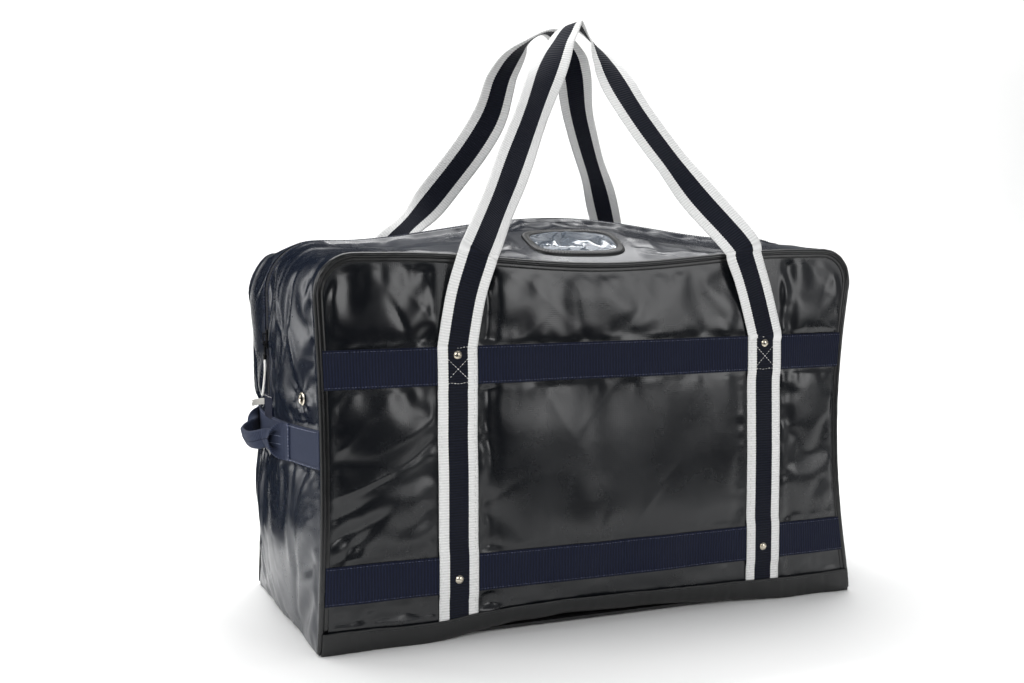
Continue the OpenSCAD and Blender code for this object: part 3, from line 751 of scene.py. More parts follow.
def tube(name, line, radius, sides, material, hint):
    """A round piping or cord along a line, with closed ends; hint is any direction off the line."""
    ahead = headings(line)
    across = unit(np.cross(ahead, np.array(hint, float)))
    other = np.cross(across, ahead)
    a = np.linspace(0, 2 * np.pi, sides, endpoint=False)
    radius = np.broadcast_to(np.asarray(radius, float), (len(line),))
    rings = line[:, None] + radius[:, None, None] * (
        across[:, None] * np.cos(a)[None, :, None] + other[:, None] * np.sin(a)[None, :, None])
    faces = [[i * sides + k, i * sides + (k + 1) % sides, (i + 1) * sides + (k + 1) % sides,
              (i + 1) * sides + k] for i in range(len(line) - 1) for k in range(sides)]
    faces += [list(range(sides))[::-1], [(len(line) - 1) * sides + k for k in range(sides)]]
    points = rings.reshape(-1, 3)
    mesh = bpy.data.meshes.new(name)
    mesh.from_pydata(points.tolist(), [], faces)
    mid = len(line) // 2
    p, q, _, r = points[faces[mid * sides]]
    if np.cross(q - p, r - p) @ (p - line[mid]) < 0:
        mesh.flip_normals()
    layer = mesh.uv_layers.new(name="cut")
    run = lengths(line)
    for polygon in mesh.polygons:
        polygon.use_smooth = len(polygon.vertices) == 4
        for loop in polygon.loop_indices:
            i, k = divmod(mesh.loops[loop].vertex_index, sides)
            layer.data[loop].uv = (run[i], k / sides * 2 * math.pi * float(radius[i]))
    mesh.materials.append(material)
    piece = bpy.data.objects.new(name, mesh)
    scene.collection.objects.link(piece)
    return piece


def join_bodies(piece, bodies):
    """Rides a piece on one body; a piece between two bodies is only fixed in place."""
    if len(bodies) == 1:
        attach(piece, bodies[0])
    else:
        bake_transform(piece)


print("mesh helpers ready")

# %% [markdown]
# ## Coated cloth
# The bag's cloth is a polyester scrim with a soft PVC coating on both sides, known as
# tarpaulin. It was calendered, so its face is smooth and mirrors softly; the threads inside
# show through as a very faint grid, handling leaves fine crinkles, and rubbed places are
# duller. The front is nearly black and the ends and top are a deep navy.

# %% Coated cloth
def tarpaulin(name, deep, pale, roughness, scrim_mm=2.6):
    """PVC-coated polyester: the colour's two tones, its mean roughness and its thread spacing."""
    material, tree, shader = new_material(name)
    spot = add(tree, "ShaderNodeTexCoord")
    broad = add(tree, "ShaderNodeTexNoise", {"Scale": 7.0, "Detail": 3.0}, {"Vector": (spot, "Object")})
    fine = add(tree, "ShaderNodeTexNoise", {"Scale": 90.0, "Detail": 4.0, "Roughness": 0.6},
               {"Vector": (spot, "Object")})
    tone = add(tree, "ShaderNodeMix", {"data_type": "RGBA", 6: linear(deep), 7: linear(pale)},
               {0: (broad, 0)})
    rubbed = add(tree, "ShaderNodeMapRange",
                 {"From Min": 0.52, "From Max": 0.80, "To Min": 0.0, "To Max": 1.0},
                 {"Value": (fine, 0)})
    scuffed = add(tree, "ShaderNodeMix", {"data_type": "RGBA", 7: linear("#3a3e46")},
                  {6: (tone, 2)})
    faint = add(tree, "ShaderNodeMath", {"operation": "MULTIPLY", 1: 0.03}, {0: (rubbed, 0)})
    tree.links.new(faint.outputs[0], scuffed.inputs[0])
    tree.links.new(scuffed.outputs[2], shader.inputs["Base Color"])
    dull = add(tree, "ShaderNodeMapRange",
               {"From Min": 0.3, "From Max": 0.75, "To Min": roughness - 0.05, "To Max": roughness + 0.10},
               {"Value": (broad, 0)})
    duller = add(tree, "ShaderNodeMath", {"operation": "MULTIPLY_ADD", 1: 0.05},
                 {0: (rubbed, 0), 2: (dull, 0)})
    tree.links.new(duller.outputs[0], shader.inputs["Roughness"])
    cut = add(tree, "ShaderNodeUVMap", {"uv_map": "cut"})
    split = add(tree, "ShaderNodeSeparateXYZ", None, {0: (cut, 0)})
    turns = 2 * math.pi / (scrim_mm / 1000)
    warp = add(tree, "ShaderNodeMath", {"operation": "MULTIPLY", 1: turns}, {0: (split, 0)})
    weft = add(tree, "ShaderNodeMath", {"operation": "MULTIPLY", 1: turns}, {0: (split, 1)})
    warp_wave = add(tree, "ShaderNodeMath", {"operation": "SINE"}, {0: (warp, 0)})
    weft_wave = add(tree, "ShaderNodeMath", {"operation": "SINE"}, {0: (weft, 0)})
    scrim = add(tree, "ShaderNodeMath", {"operation": "MAXIMUM"}, {0: (warp_wave, 0), 1: (weft_wave, 0)})
    crinkle = add(tree, "ShaderNodeTexNoise",
                  {"Scale": 55.0, "Detail": 5.0, "Roughness": 0.6, "Distortion": 0.6},
                  {"Vector": (spot, "Object")})
    soft = add(tree, "ShaderNodeBump", {"Strength": 0.12, "Distance": 0.0012}, {"Height": (crinkle, 0)})
    threads = add(tree, "ShaderNodeBump", {"Strength": 0.05, "Distance": 0.0003},
                  {"Height": (scrim, 0), "Normal": (soft, 0)})
    tree.links.new(threads.outputs[0], shader.inputs["Normal"])
    shader.inputs["IOR"].default_value = 1.53
    shader.inputs["Specular IOR Level"].default_value = 0.55
    return material


front_cloth = tarpaulin("front_pvc_tarpaulin", "#0a0c0f", "#101318", 0.25)
navy_cloth = tarpaulin("navy_pvc_tarpaulin", "#0b111c", "#121a29", 0.25)
base_cloth = tarpaulin("matt_base_tarpaulin", "#090a0b", "#0f1011", 0.52, 3.4)
piping_vinyl = tarpaulin("piping_vinyl", "#08090a", "#0d0e10", 0.30, 5.0)
print("cloths:", front_cloth.name, navy_cloth.name, base_cloth.name)

# %% [markdown]
# ## Webbing
# Webbing is woven from thick filament polyester: ribs cross it every few millimetres, and
# fine yarns run along it over the ribs. It is matt with a slight silky sheen. The long
# handles are navy with a white stripe along each edge, and the small grab handles are worn
# to a lighter, denim-like blue.

# %% Webbing
def woven(name, groove_shade_tone, crest_light_tone, rib_step, edge=None, stripe_from=0.0135, twill=False):
    """Polyester webbing: its tone in the shaded grooves and its tone on the lit crests, its rib spacing,
    and the same two tones of white edge stripes.
    """
    yarn_step = 0.0013  # real yarns are half as wide, drawn coarser so that they show
    material, tree, shader = new_material(name)
    cut = add(tree, "ShaderNodeUVMap", {"uv_map": "cut"})
    split = add(tree, "ShaderNodeSeparateXYZ", None, {0: (cut, 0)})
    rib_turn = add(tree, "ShaderNodeMath", {"operation": "MULTIPLY", 1: 2 * math.pi / rib_step},
                   {0: (split, 0)})
    yarn_turn = add(tree, "ShaderNodeMath", {"operation": "MULTIPLY", 1: 2 * math.pi / yarn_step},
                    {0: (split, 1)})
    if twill:
        yarn_turn = add(tree, "ShaderNodeMath", {"operation": "ADD"},
                        {0: (yarn_turn, 0), 1: (rib_turn, 0)})
    rib = add(tree, "ShaderNodeMath", {"operation": "COSINE"}, {0: (rib_turn, 0)})
    yarn = add(tree, "ShaderNodeMath", {"operation": "SINE"}, {0: (yarn_turn, 0)})
    spot = add(tree, "ShaderNodeTexCoord")
    fuzz = add(tree, "ShaderNodeTexNoise", {"Scale": 420.0, "Detail": 3.0}, {"Vector": (spot, "Object")})
    patchy = add(tree, "ShaderNodeTexNoise", {"Scale": 14.0, "Detail": 2.0}, {"Vector": (spot, "Object")})
    # Painted shade and light: the tone is darker in the grooves between ribs and yarns and paler on their
    # crests; the fine fuzz is the yarn's own uneven tone.
    by_rib = add(tree, "ShaderNodeMath", {"operation": "MULTIPLY_ADD", 1: 0.26, 2: 0.30}, {0: (rib, 0)})
    by_yarn = add(tree, "ShaderNodeMath", {"operation": "MULTIPLY_ADD", 1: 0.12},
                  {0: (yarn, 0), 2: (by_rib, 0)})
    lit_crest_and_fuzz = add(tree, "ShaderNodeMath", {"operation": "MULTIPLY_ADD", 1: 0.35, "use_clamp": True},
                      {0: (fuzz, 0), 2: (by_yarn, 0)})
    tone = add(tree, "ShaderNodeMix", {"data_type": "RGBA", 6: linear(groove_shade_tone), 7: linear(crest_light_tone)},
               {0: (lit_crest_and_fuzz, 0)})
    last = tone
    if edge:
        side = add(tree, "ShaderNodeMath", {"operation": "ABSOLUTE"}, {0: (split, 1)})
        jag = add(tree, "ShaderNodeMath", {"operation": "MULTIPLY_ADD", 1: 0.00022},
                  {0: (rib, 0), 2: (side, 0)})
        outer = add(tree, "ShaderNodeMath", {"operation": "GREATER_THAN", 1: stripe_from}, {0: (jag, 0)})
        white = add(tree, "ShaderNodeMix", {"data_type": "RGBA", 6: linear(edge[0]), 7: linear(edge[1])},
                    {0: (lit_crest_and_fuzz, 0)})
        last = add(tree, "ShaderNodeMix", {"data_type": "RGBA"},
                   {0: (outer, 0), 6: (tone, 2), 7: (white, 2)})
    tree.links.new(last.outputs[2], shader.inputs["Base Color"])
    dull = add(tree, "ShaderNodeMapRange", {"To Min": 0.62, "To Max": 0.86}, {"Value": (patchy, 0)})
    tree.links.new(dull.outputs[0], shader.inputs["Roughness"])
    height = add(tree, "ShaderNodeMath", {"operation": "MULTIPLY_ADD", 1: 0.35},
                 {0: (yarn, 0), 2: (rib, 0)})
    bump = add(tree, "ShaderNodeBump", {"Strength": 0.35, "Distance": 0.00035}, {"Height": (height, 0)})
    tree.links.new(bump.outputs[0], shader.inputs["Normal"])
    shader.inputs["Specular IOR Level"].default_value = 0.25
    shader.inputs["Sheen Weight"].default_value = 0.05
    shader.inputs["Sheen Roughness"].default_value = 0.4
    return material


band_weave = woven("navy_ribbed_webbing", "#050814", "#131b36", band_rib)
stripe_weave = woven("striped_handle_webbing", "#03050c", "#0d1326", stripe_rib, ("#cfcfce", "#efefee"))
grab_weave = woven("worn_navy_webbing", "#070a13", "#3d4660", grab_rib, twill=True)
tape_weave = woven("zip_tape_weave", "#0a0d16", "#1c2234", 0.0018)
tag_weave = woven("satin_tag_weave", "#cfccc4", "#f2f0ea", 0.0014)
print("webbings:", band_weave.name, stripe_weave.name, grab_weave.name)

# %% [markdown]
# ## Thread, metal and plastic
# Bonded polyester thread is round and slightly shiny, with painted shade in the grooves of
# its twist. The rivets and eyelets are brass with a nickel plate that has dulled a little,
# so they mirror with a warm tint. The sliders are die-cast zinc with black enamel, with pale
# spots painted on as glints of light. The zip coil is moulded nylon and the window is clear soft vinyl.

# %% Thread, metal and plastic
def spun(name, dark, light, roughness, twist_mm=0.9):
    """Twisted thread or braid, with painted shade in the grooves of its twist and painted light on its
    ridges.
    """
    material, tree, shader = new_material(name)
    spot = add(tree, "ShaderNodeTexCoord")
    twist = add(tree, "ShaderNodeTexWave", {"wave_type": "BANDS", "bands_direction": "DIAGONAL",
                                            "Scale": 1000 / twist_mm / 20, "Distortion": 1.5},
                {"Vector": (spot, "Object")})
    # Painted shade and light: darker in the grooves of the twist, paler on its ridges, along the same wave
    # that makes the bump.
    tone = add(tree, "ShaderNodeMix", {"data_type": "RGBA", 6: linear(dark), 7: linear(light)},
               {0: (twist, 1)})
    bump = add(tree, "ShaderNodeBump", {"Strength": 0.5, "Distance": 0.0003}, {"Height": (twist, 1)})
    tree.links.new(tone.outputs[2], shader.inputs["Base Color"])
    tree.links.new(bump.outputs[0], shader.inputs["Normal"])
    shader.inputs["Roughness"].default_value = roughness
    shader.inputs["Sheen Weight"].default_value = 0.2
    return material


def speckled(name, main, wear_and_glint, amount, metallic, low, high, scale, bump_mm):
    """A smooth hard finish with a few spots of a second tone: metal, enamel or moulded plastic.

    amount is the share of the spots (wear on metal and plastic, painted glints on enamel), and low and
    high are the limits of the roughness."""
    material, tree, shader = new_material(name)
    spot = add(tree, "ShaderNodeTexCoord")
    grain = add(tree, "ShaderNodeTexNoise", {"Scale": scale, "Detail": 4.0}, {"Vector": (spot, "Object")})
    where = add(tree, "ShaderNodeMapRange", {"From Min": 1 - amount, "From Max": 1.06 - amount},
                {"Value": (grain, 0)})
    # The second tone is wear on nickel, nylon and board, and painted glints of light on black enamel.
    tone = add(tree, "ShaderNodeMix", {"data_type": "RGBA", 6: linear(main), 7: linear(wear_and_glint)},
               {0: (where, 0)})
    dull = add(tree, "ShaderNodeMapRange",
               {"From Min": 0.3, "From Max": 0.7, "To Min": low, "To Max": high},
               {"Value": (grain, 0)})
    bump = add(tree, "ShaderNodeBump", {"Strength": 0.3, "Distance": bump_mm / 1000},
               {"Height": (grain, 0)})
    tree.links.new(tone.outputs[2], shader.inputs["Base Color"])
    tree.links.new(dull.outputs[0], shader.inputs["Roughness"])
    tree.links.new(bump.outputs[0], shader.inputs["Normal"])
    shader.inputs["Metallic"].default_value = metallic
    return material


white_thread = spun("white_bonded_thread", "#b9b8b4", "#f1f0ec", 0.55)
navy_thread = spun("navy_bonded_thread", "#1e2338", "#4a5170", 0.5)
denim_thread = spun("denim_blue_thread", "#5d6787", "#a3abc2", 0.5)
black_thread = spun("black_bonded_thread", "#0a0a0c", "#26282d", 0.5)
pull_braid = spun("white_pull_braid", "#e2e0da", "#fbfaf7", 0.7, 1.6)
nickel = speckled("nickel_plated_brass", "#d8d0bf", "#a79c86", 0.42, 1.0, 0.16, 0.36, 260, 0.05)
# Pale grey spots painted on the enamel stand in for glints of light on the metal.
enamel = speckled("black_enamelled_zinc", "#0b0b0c", "#6f7072", 0.30, 0.0, 0.18, 0.38, 420, 0.05)
nylon = speckled("black_nylon_coil", "#0c0d11", "#1e212a", 0.45, 0.0, 0.26, 0.42, 300, 0.04)
board_plastic = speckled("black_fibre_board", "#131314", "#242426", 0.45, 0.0, 0.55, 0.75, 120, 0.2)
binding_vinyl = speckled("ribbed_vinyl_binding", "#0a0a0b", "#17181a", 0.45, 0.0, 0.28, 0.44, 180, 0.1)

vinyl, vinyl_tree, vinyl_shader = new_material("clear_soft_vinyl")
# Clear plasticised PVC film: glassy, a little milky, and rippled from being rolled.
vinyl_spot = add(vinyl_tree, "ShaderNodeTexCoord")
vinyl_noise = add(vinyl_tree, "ShaderNodeTexNoise", {"Scale": 45.0, "Detail": 3.0, "Distortion": 0.8},
                  {"Vector": (vinyl_spot, "Object")})
vinyl_bump = add(vinyl_tree, "ShaderNodeBump", {"Strength": 0.35, "Distance": 0.0012},
                 {"Height": (vinyl_noise, 0)})
vinyl_tree.links.new(vinyl_bump.outputs[0], vinyl_shader.inputs["Normal"])
vinyl_shader.inputs["Base Color"].default_value = linear("#a9b3bf")
vinyl_shader.inputs["Roughness"].default_value = 0.05
vinyl_shader.inputs["Transmission Weight"].default_value = 0.82
vinyl_shader.inputs["IOR"].default_value = 1.52
print("materials:", len(bpy.data.materials))

# %% [markdown]
# ## The pull cord
# The left zip pull ends in a short white cord, knotted inside the barrel of the tab. It is
# limp, so it hangs down close to the cloth and drifts a little to the rear. A bevelled
# curve would do, but a plain tube along the route shows its cut end better. It follows the
# same route as in the solid model, in millimetres.

# %% Pull cord
cord_route = [(-424.2, 0, 362), (-424.2, 0, 356), (-424, 1, 348), (-424, 4, 340), (-424, 8, 332),
              (-424, 13, 324), (-424, 18, 317), (-424, 23, 311)]
cord_line = curve(np.array(cord_route) / 1000, 8)
cord_radius = 0.0017 * (1 + 0.05 * np.sin(lengths(cord_line) / 0.0011))
pull_cord = tube("left_pull_cord_braid", cord_line, cord_radius, 12, pull_braid, hint=(1, 0, 0))
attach(pull_cord, "left_pull")
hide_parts("left_pull_cord")

# %% [markdown]
# ## Front and rear cloth
# Each panel is one grid that fans out to its rounded upper corners. Its columns crowd
# round the corners, where the outline turns fastest.

# %% Front and rear cloth
corner_turn = np.radians(np.linspace(0, 90, 15))[:-1]
corner_x = half_l - corner_r + corner_r * np.cos(corner_turn)
panel_x = np.concatenate([-corner_x, np.linspace(-(half_l - corner_r), half_l - corner_r, 205),
                          corner_x[::-1]])
panel_k = np.linspace(0, 1, 146)
panel_grid_x, panel_grid_k = np.meshgrid(panel_x, panel_k, indexing="ij")
panel_foot = 0.002
panel_grid_z = panel_foot + panel_grid_k * (top_z(panel_grid_x) - panel_foot)
panel_uv = np.stack([panel_grid_x, panel_grid_z], -1)
for side, name in both_faces:
    outer = front_surface(panel_grid_x, panel_grid_z, cloth_t, side, cloth=True)
    facing = grid_normals(outer)
    facing *= np.sign((facing[..., 1] * side).mean())
    panel = two_sided(f"{name}_cloth", outer, outer - cloth_drawn * facing, front_cloth, uv=panel_uv)
    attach(panel, "bag")
    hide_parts(f"{name}_panel")
    print(name, "cloth:", len(panel.data.polygons), "faces")

# %% [markdown]
# ## Ends, corners and top
# One long strip of cloth runs up the left end, over the top and down the right end, with a
# slot for the zip. It is cut where the flaps begin. Each half of a flap, from the top of an
# end round the corner to the middle of the top, is a piece of its own.

# %% Ends and flaps
end_u = np.linspace(0.004, 1, 128)
corner_u = np.linspace(1, 2, 25)
half_top_u = np.linspace(2, 2.5, 100)
long_u = np.concatenate([end_u[:-1], corner_u[:-1], half_top_u])
long_u = np.concatenate([long_u, 5 - long_u[::-1][1:]])
side_y = np.linspace(-half_d, -zip_half, 53)
long_y = np.concatenate([side_y, np.linspace(-zip_half, zip_half, 8)[1:-1], -side_y[::-1]])
long_grid_u, long_grid_y = np.meshgrid(long_u, long_y, indexing="ij")
long_outer = strip_surface(long_grid_u, long_grid_y, cloth_t, cloth=True)
_, _, out_x, out_z = seam(long_grid_u)
# A folded hem stands a little proud along the zip.
hem_wide, hem_high = 0.0185, 0.0011
hem = hem_high * between(np.abs(long_grid_y), 0.0, hem_wide, 0.0015)
hem *= smooth((long_outer[..., 2] - zip_low_z + 0.004) / 0.004)
long_outer[..., 0] += out_x * hem
long_outer[..., 2] += out_z * hem
long_facing = grid_normals(long_outer)
long_facing *= np.sign(long_facing[len(long_u) // 2, 30, 2])
long_inner = long_outer - cloth_drawn * long_facing
long_uv = np.stack([strip_along(long_grid_u), long_grid_y], -1)
# Rows where the flaps begin, meet and end, and columns beside the zip.
i_left, i_mid = len(end_u) - 1, len(end_u) + len(corner_u) + len(half_top_u) - 3
i_last, j_last = len(long_u) - 1, len(long_y) - 1
i_right = i_last - i_left
j_front, j_rear = len(side_y) - 1, len(long_y) - len(side_y)


def cut_strip(name, i0, i1, j0, j1, bodies, stands_for, keep=None):
    """One piece of the long strip, riding on one body, or fixed in place when it lies between two."""
    part = (slice(i0, i1 + 1), slice(j0, j1 + 1))
    piece = two_sided(name, long_outer[part], long_inner[part], navy_cloth, keep=keep, uv=long_uv[part],
                      normals=long_facing[part])
    join_bodies(piece, bodies)
    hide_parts(*stands_for)


def end_keep(i0, i1):
    """The faces of an end that are neither in the zip's slot nor in the eyelet's hole."""
    centre = 0.25 * (long_outer[i0:i1, :-1] + long_outer[i0 + 1:i1 + 1, :-1]
                     + long_outer[i0:i1, 1:] + long_outer[i0 + 1:i1 + 1, 1:])
    slot = (np.abs(centre[..., 1]) < zip_half) & (centre[..., 2] > zip_low_z)
    hole = np.hypot(centre[..., 1] - eye_y, centre[..., 2] - eye_z) < eye_hole_r
    return ~slot & ~hole


for name, i0, i1 in (("left_end", 0, i_left), ("right_end", i_right, i_last)):
    cut_strip(f"{name}_cloth", i0, i1, 0, j_last, ["bag"], [f"{name}_panel"],
              end_keep(i0, i1))
bend_left = ((-0.405, 0, 0.5), (-0.300, 0, 0.5))
bend_right = ((0.405, 0, 0.5), (0.300, 0, 0.5))
for half, j0, j1 in (("front", 0, j_front), ("rear", j_rear, j_last)):
    for end, i0, i1, bend in (("left", i_left, i_mid, bend_left), ("right", i_mid, i_right, bend_right)):
        cut_strip(f"{half}_{end}_flap_cloth", i0, i1, j0, j1, ["bag", f"{half}_flap"],
                  [f"{half}_flap", f"{half}_top_binding"])
print("strip grid", long_outer.shape[:2])

# %% [markdown]
# ## Base and base strips
# The base is the same cloth with a matt face. It follows the tucked-in lower edges of the
# panels. A strip of it is folded up over the foot of the front and rear panels and
# stitched down over the ends of the handle straps.

# %% Base
def strip_hem(x):
    """Height of the base strip's upper edge: uneven, and lower by the left corner."""
    return base_strip_h - 0.0035 * between(x, -0.40, -0.24, 0.06) + 0.0012 * mottle(x, 0 * x, 0.04, 43)


base_x = np.linspace(-half_l + 0.002, half_l - 0.002, 161)
base_y = np.linspace(-1, 1, 41)
base_grid_x, base_grid_k = np.meshgrid(base_x, base_y, indexing="ij")
base_half = half_d - 0.001 - tuck(base_grid_x, 0 * base_grid_x + 0.003)
base_low = 0.0004 + 0.0006 * (mottle(base_grid_x, base_grid_k * half_d, 0.05, 41) + 1)
base_low += curl(base_grid_x, 0 * base_grid_x) * smooth((np.abs(base_grid_k) - 0.62) / 0.38)
base_points = np.stack([base_grid_x, base_grid_k * base_half, base_low], -1)
base_sheet = two_sided("base_cloth", base_points, base_points + np.array([0, 0, 0.0014]), base_cloth,
                       uv=base_points[..., :2])
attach(base_sheet, "bag")
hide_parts("base_panel")

foot_x = np.linspace(-half_l + 0.001, half_l - 0.001, 268)
foot_z = np.linspace(0.0006, base_strip_h, 14)
foot_grid_x, foot_grid_z = np.meshgrid(foot_x, foot_z, indexing="ij")
foot_grid_z = foot_grid_z * strip_hem(foot_grid_x) / base_strip_h
foot_gap = 0.0062 + 0.0009 * mottle(foot_grid_x, foot_grid_z, 0.025, 44)
foot_gap = foot_gap + 0.0008 * mottle(foot_grid_x, 0 * foot_grid_z, 0.008, 45)
base_drawn = 0.0014
for side, name in both_faces:
    outer = front_surface(foot_grid_x, foot_grid_z, 0.0, side)
    outer[..., 1] += side * foot_gap
    inner = front_surface(foot_grid_x, foot_grid_z, 0.0, side)
    inner[..., 1] += side * (foot_gap - base_drawn)
    foot = two_sided(f"{name}_base_strip_cloth", outer, inner, base_cloth,
                     uv=np.stack([foot_grid_x, foot_grid_z], -1))
    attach(foot, "bag")
    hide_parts(f"{name}_base_strip")
print("base and its strips are on")

# %% [markdown]
# ## Piping
# A cord wrapped in vinyl is sewn into the front and rear seams and stands proud of them.
# It runs from the floor up one side, over the top and down the other. A thin flange beside
# it shows where the wrapping is stitched in.

# %% Piping
pipe_u = np.concatenate([np.linspace(0.012, 1, 90)[:-1], np.linspace(1, 2, 40)[:-1],
                         np.linspace(2, 3, 150)[:-1], np.linspace(3, 4, 40)[:-1],
                         np.linspace(4, 4.988, 90)])
pipe_x, pipe_z, pipe_nx, pipe_nz = seam(pipe_u)
pipe_run = strip_along(pipe_u)
# The wrapping gathers a little, most of all in the corners.
gather = 0.00022 * mottle(pipe_run, 0 * pipe_run, 0.006, 51) * (1 + np.abs(pipe_nx * pipe_nz) * 3)
pipe_radius = 0.0040 + gather
pipe_out = half_d + 0.0006 - tuck(pipe_x, pipe_z)
for side, name in both_faces:
    pipe_line = np.stack([pipe_x + waist(pipe_x, pipe_z), side * pipe_out, pipe_z], -1)
    piping = tube(f"{name}_piping_cord", pipe_line, pipe_radius, 14, piping_vinyl, hint=(0, 1, 0))
    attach(piping, "bag")
    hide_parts(f"{name}_piping")
    flange_across = np.linspace(0.0030, 0.0092, 7)
    flange_u = pipe_u[pipe_z > base_strip_h * 0.8]
    fu, fd = np.meshgrid(flange_u, flange_across, indexing="ij")
    flange_x, flange_z, flange_nx, flange_nz = seam(fu)
    flange_x, flange_z = flange_x - flange_nx * fd, flange_z - flange_nz * fd
    lip = 0.0009 * np.sqrt(np.clip(1 - ((fd - 0.0061) / 0.0032) ** 2, 0, 1))
    lip = lip + 0.00015 * mottle(fu * 60, fd, 1.0, 53)
    outer = front_surface(flange_x, flange_z, cloth_t + 0.0001 + lip, side)
    inner = front_surface(flange_x, flange_z, cloth_t - 0.0006, side)
    flange = two_sided(f"{name}_piping_flange", outer, inner, piping_vinyl,
                       uv=np.stack([strip_along(fu), fd], -1))
    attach(flange, "bag")
print("piping runs", round(float(pipe_run[-1] - pipe_run[0]), 3), "m round each face")

# %% [markdown]
# ## Webbing bands
# Two flat bands cross the front and two the rear, sewn along both edges. Their ribs stand
# upright. They are swept along the panel, so they share its slow waves.

# %% Bands
web_core = 0.0008  # half the thickness of flat webbing, without its ribs


def panel_band(name, middle_z, side, stands_for):
    """A band across the front or the rear, with ribs along its width."""
    x = np.linspace(-half_l + 0.0035, half_l - 0.0035, 1130)
    c = np.linspace(-1, 1, 11)
    gx, gc = np.meshgrid(x, c, indexing="ij")
    base = front_surface(gx, middle_z + gc * band_w / 2, 0.0, side)
    edge = 1 - 0.6 * np.abs(gc) ** 8
    rib = 0.00026 * np.cos(2 * np.pi * gx / band_rib)
    wave = 0.0004 * mottle(gx, gc, 0.02, 62) * np.abs(gc) ** 2
    outer, inner = base.copy(), base.copy()
    outer[..., 1] += side * (band_mid + wave + (web_core + rib) * edge)
    inner[..., 1] += side * (band_mid + wave - web_core * edge)
    band = two_sided(name, outer, inner, band_weave, uv=np.stack([gx, gc * band_w / 2], -1))
    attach(band, "bag")
    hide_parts(stands_for)


for side, name in both_faces:
    panel_band(f"upper_{name}_webbing", upper_band_z, side, f"upper_{name}_band")
    panel_band(f"lower_{name}_webbing", lower_band_z, side, f"lower_{name}_band")
print("four bands")

# %% [markdown]
# ## Straps and carry handles
# One length of striped webbing makes both sewn straps of a side and the loop between them.
# It is swept along one line, from the foot of the left strap up, over the top and down to
# the foot of the right one, so the stripes run on.

# %% Straps and handles
# The loop leaves the panel where its bulge at the left strap puts the webbing.
strap_bulge = front_bulge * (1 - (strap_left_x / half_l) ** 2) * math.sin(math.pi * handle_z / bag_h)
leg_y = -(half_d + strap_bulge + 0.0037 + web_t) + web_t / 2 - 0.0002


def loop_route(s):
    """Middle line of a loop, as in the solid model: s is -1 for the front and 1 for the rear."""
    top, edge, y, h = handle_top_z, bag_h + 0.014, -s * leg_y, s * 0.028
    left = [(strap_left_x, y, handle_z + 0.001), (strap_left_x + 0.010, y + s * 0.0005, 0.440),
            (strap_left_x + 0.025, y + s * 0.004, bag_h - 0.006),
            (strap_left_x + 0.034, y + s * 0.001, edge),
            (-0.126, s * 0.148, 0.594), (-0.062, s * 0.092, 0.700)]
    if s < 0:
        crest = [(-0.016, s * 0.050, 0.776), (0.010, s * 0.034, 0.815), (0.032, h, top),
                 (0.054, s * 0.034, 0.816), (0.072, s * 0.050, 0.780)]
    else:
        crest = [(-0.044, s * 0.064, 0.772), (-0.022, s * 0.036, 0.813), (0.014, h, top - 0.004),
                 (0.046, s * 0.034, 0.814), (0.066, s * 0.050, 0.776)]
    return left + crest + [(0.098, s * 0.092, 0.704), (0.160, s * 0.148, 0.594),
                           (strap_right_x - 0.045, y + s * 0.001, edge),
                           (strap_right_x - 0.038, y + s * 0.004, bag_h - 0.008),
                           (strap_right_x - 0.016, y + s * 0.0005, 0.440),
                           (strap_right_x, y, handle_z + 0.001)]


def strap_height(z):
    """The strap's middle line over the panel: higher where it crosses a band."""
    over = np.maximum(between(z, upper_band_z - 0.026, 0.5, 0.010),
                      between(z, lower_band_z - 0.026, lower_band_z + 0.026, 0.010))
    return 0.0033 + 0.0015 * over


def sewn_line(x, side):
    """The middle line of a sewn strap, from its foot up."""
    z = np.linspace(base_strip_h - 0.009, handle_z - 0.002, 90)
    line = front_surface(x + 0 * z, z, 0.0, side)
    line[:, 1] += side * strap_height(z)
    return line


for side, name in both_faces:
    loop = curve(loop_route(side), 14)
    run = lengths(loop)
    legs = smooth((loop[:, 2] - 0.42) / 0.06) * smooth((0.80 - loop[:, 2]) / 0.06)
    loop[:, 1] += side * legs * (0.0022 * mottle(run, 0 * run, 0.075, 71 + side) + 0.0012)
    loop[:, 0] += legs * 0.0016 * mottle(run, 0 * run, 0.09, 75 + side)
    whole = np.concatenate([sewn_line(strap_left_x, side), loop, sewn_line(strap_right_x, side)[::-1]])
    line = evenly(whole, 0.0009)
    k = smooth((line[:, 2] - 0.700) / (handle_top_z - 0.720))[:, None]
    facing = unit((1 - k) * np.array([0, side, 0.0]) + k * np.array([0, 0, 1.0]))
    # Loose webbing twists a little; the rear loop turns edge-on as it leaves the bag on the left.
    loose = smooth((line[:, 2] - 0.47) / 0.05) * smooth((0.79 - line[:, 2]) / 0.06)
    place = lengths(line)
    twist = loose * 0.28 * mottle(place, 0 * place, 0.075, 83 + side)
    if side > 0:
        twist -= 0.85 * np.exp(-((line[:, 2] - 0.550) / 0.034) ** 2) * (line[:, 0] < -0.05)
    turned = np.cross(headings(line), facing)
    facing = facing * np.cos(twist)[:, None] + turned * np.sin(twist)[:, None]
    strap = webbing(f"{name}_striped_webbing", line, facing, strap_w, web_t, stripe_weave,
                    rib=stripe_rib, rib_high=0.00026, columns=12)
    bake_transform(strap)
    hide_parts(f"{name}_left_strap", f"{name}_right_strap", f"{name}_handle")
    print(name, "webbing is", round(float(lengths(line)[-1]), 3), "m long")
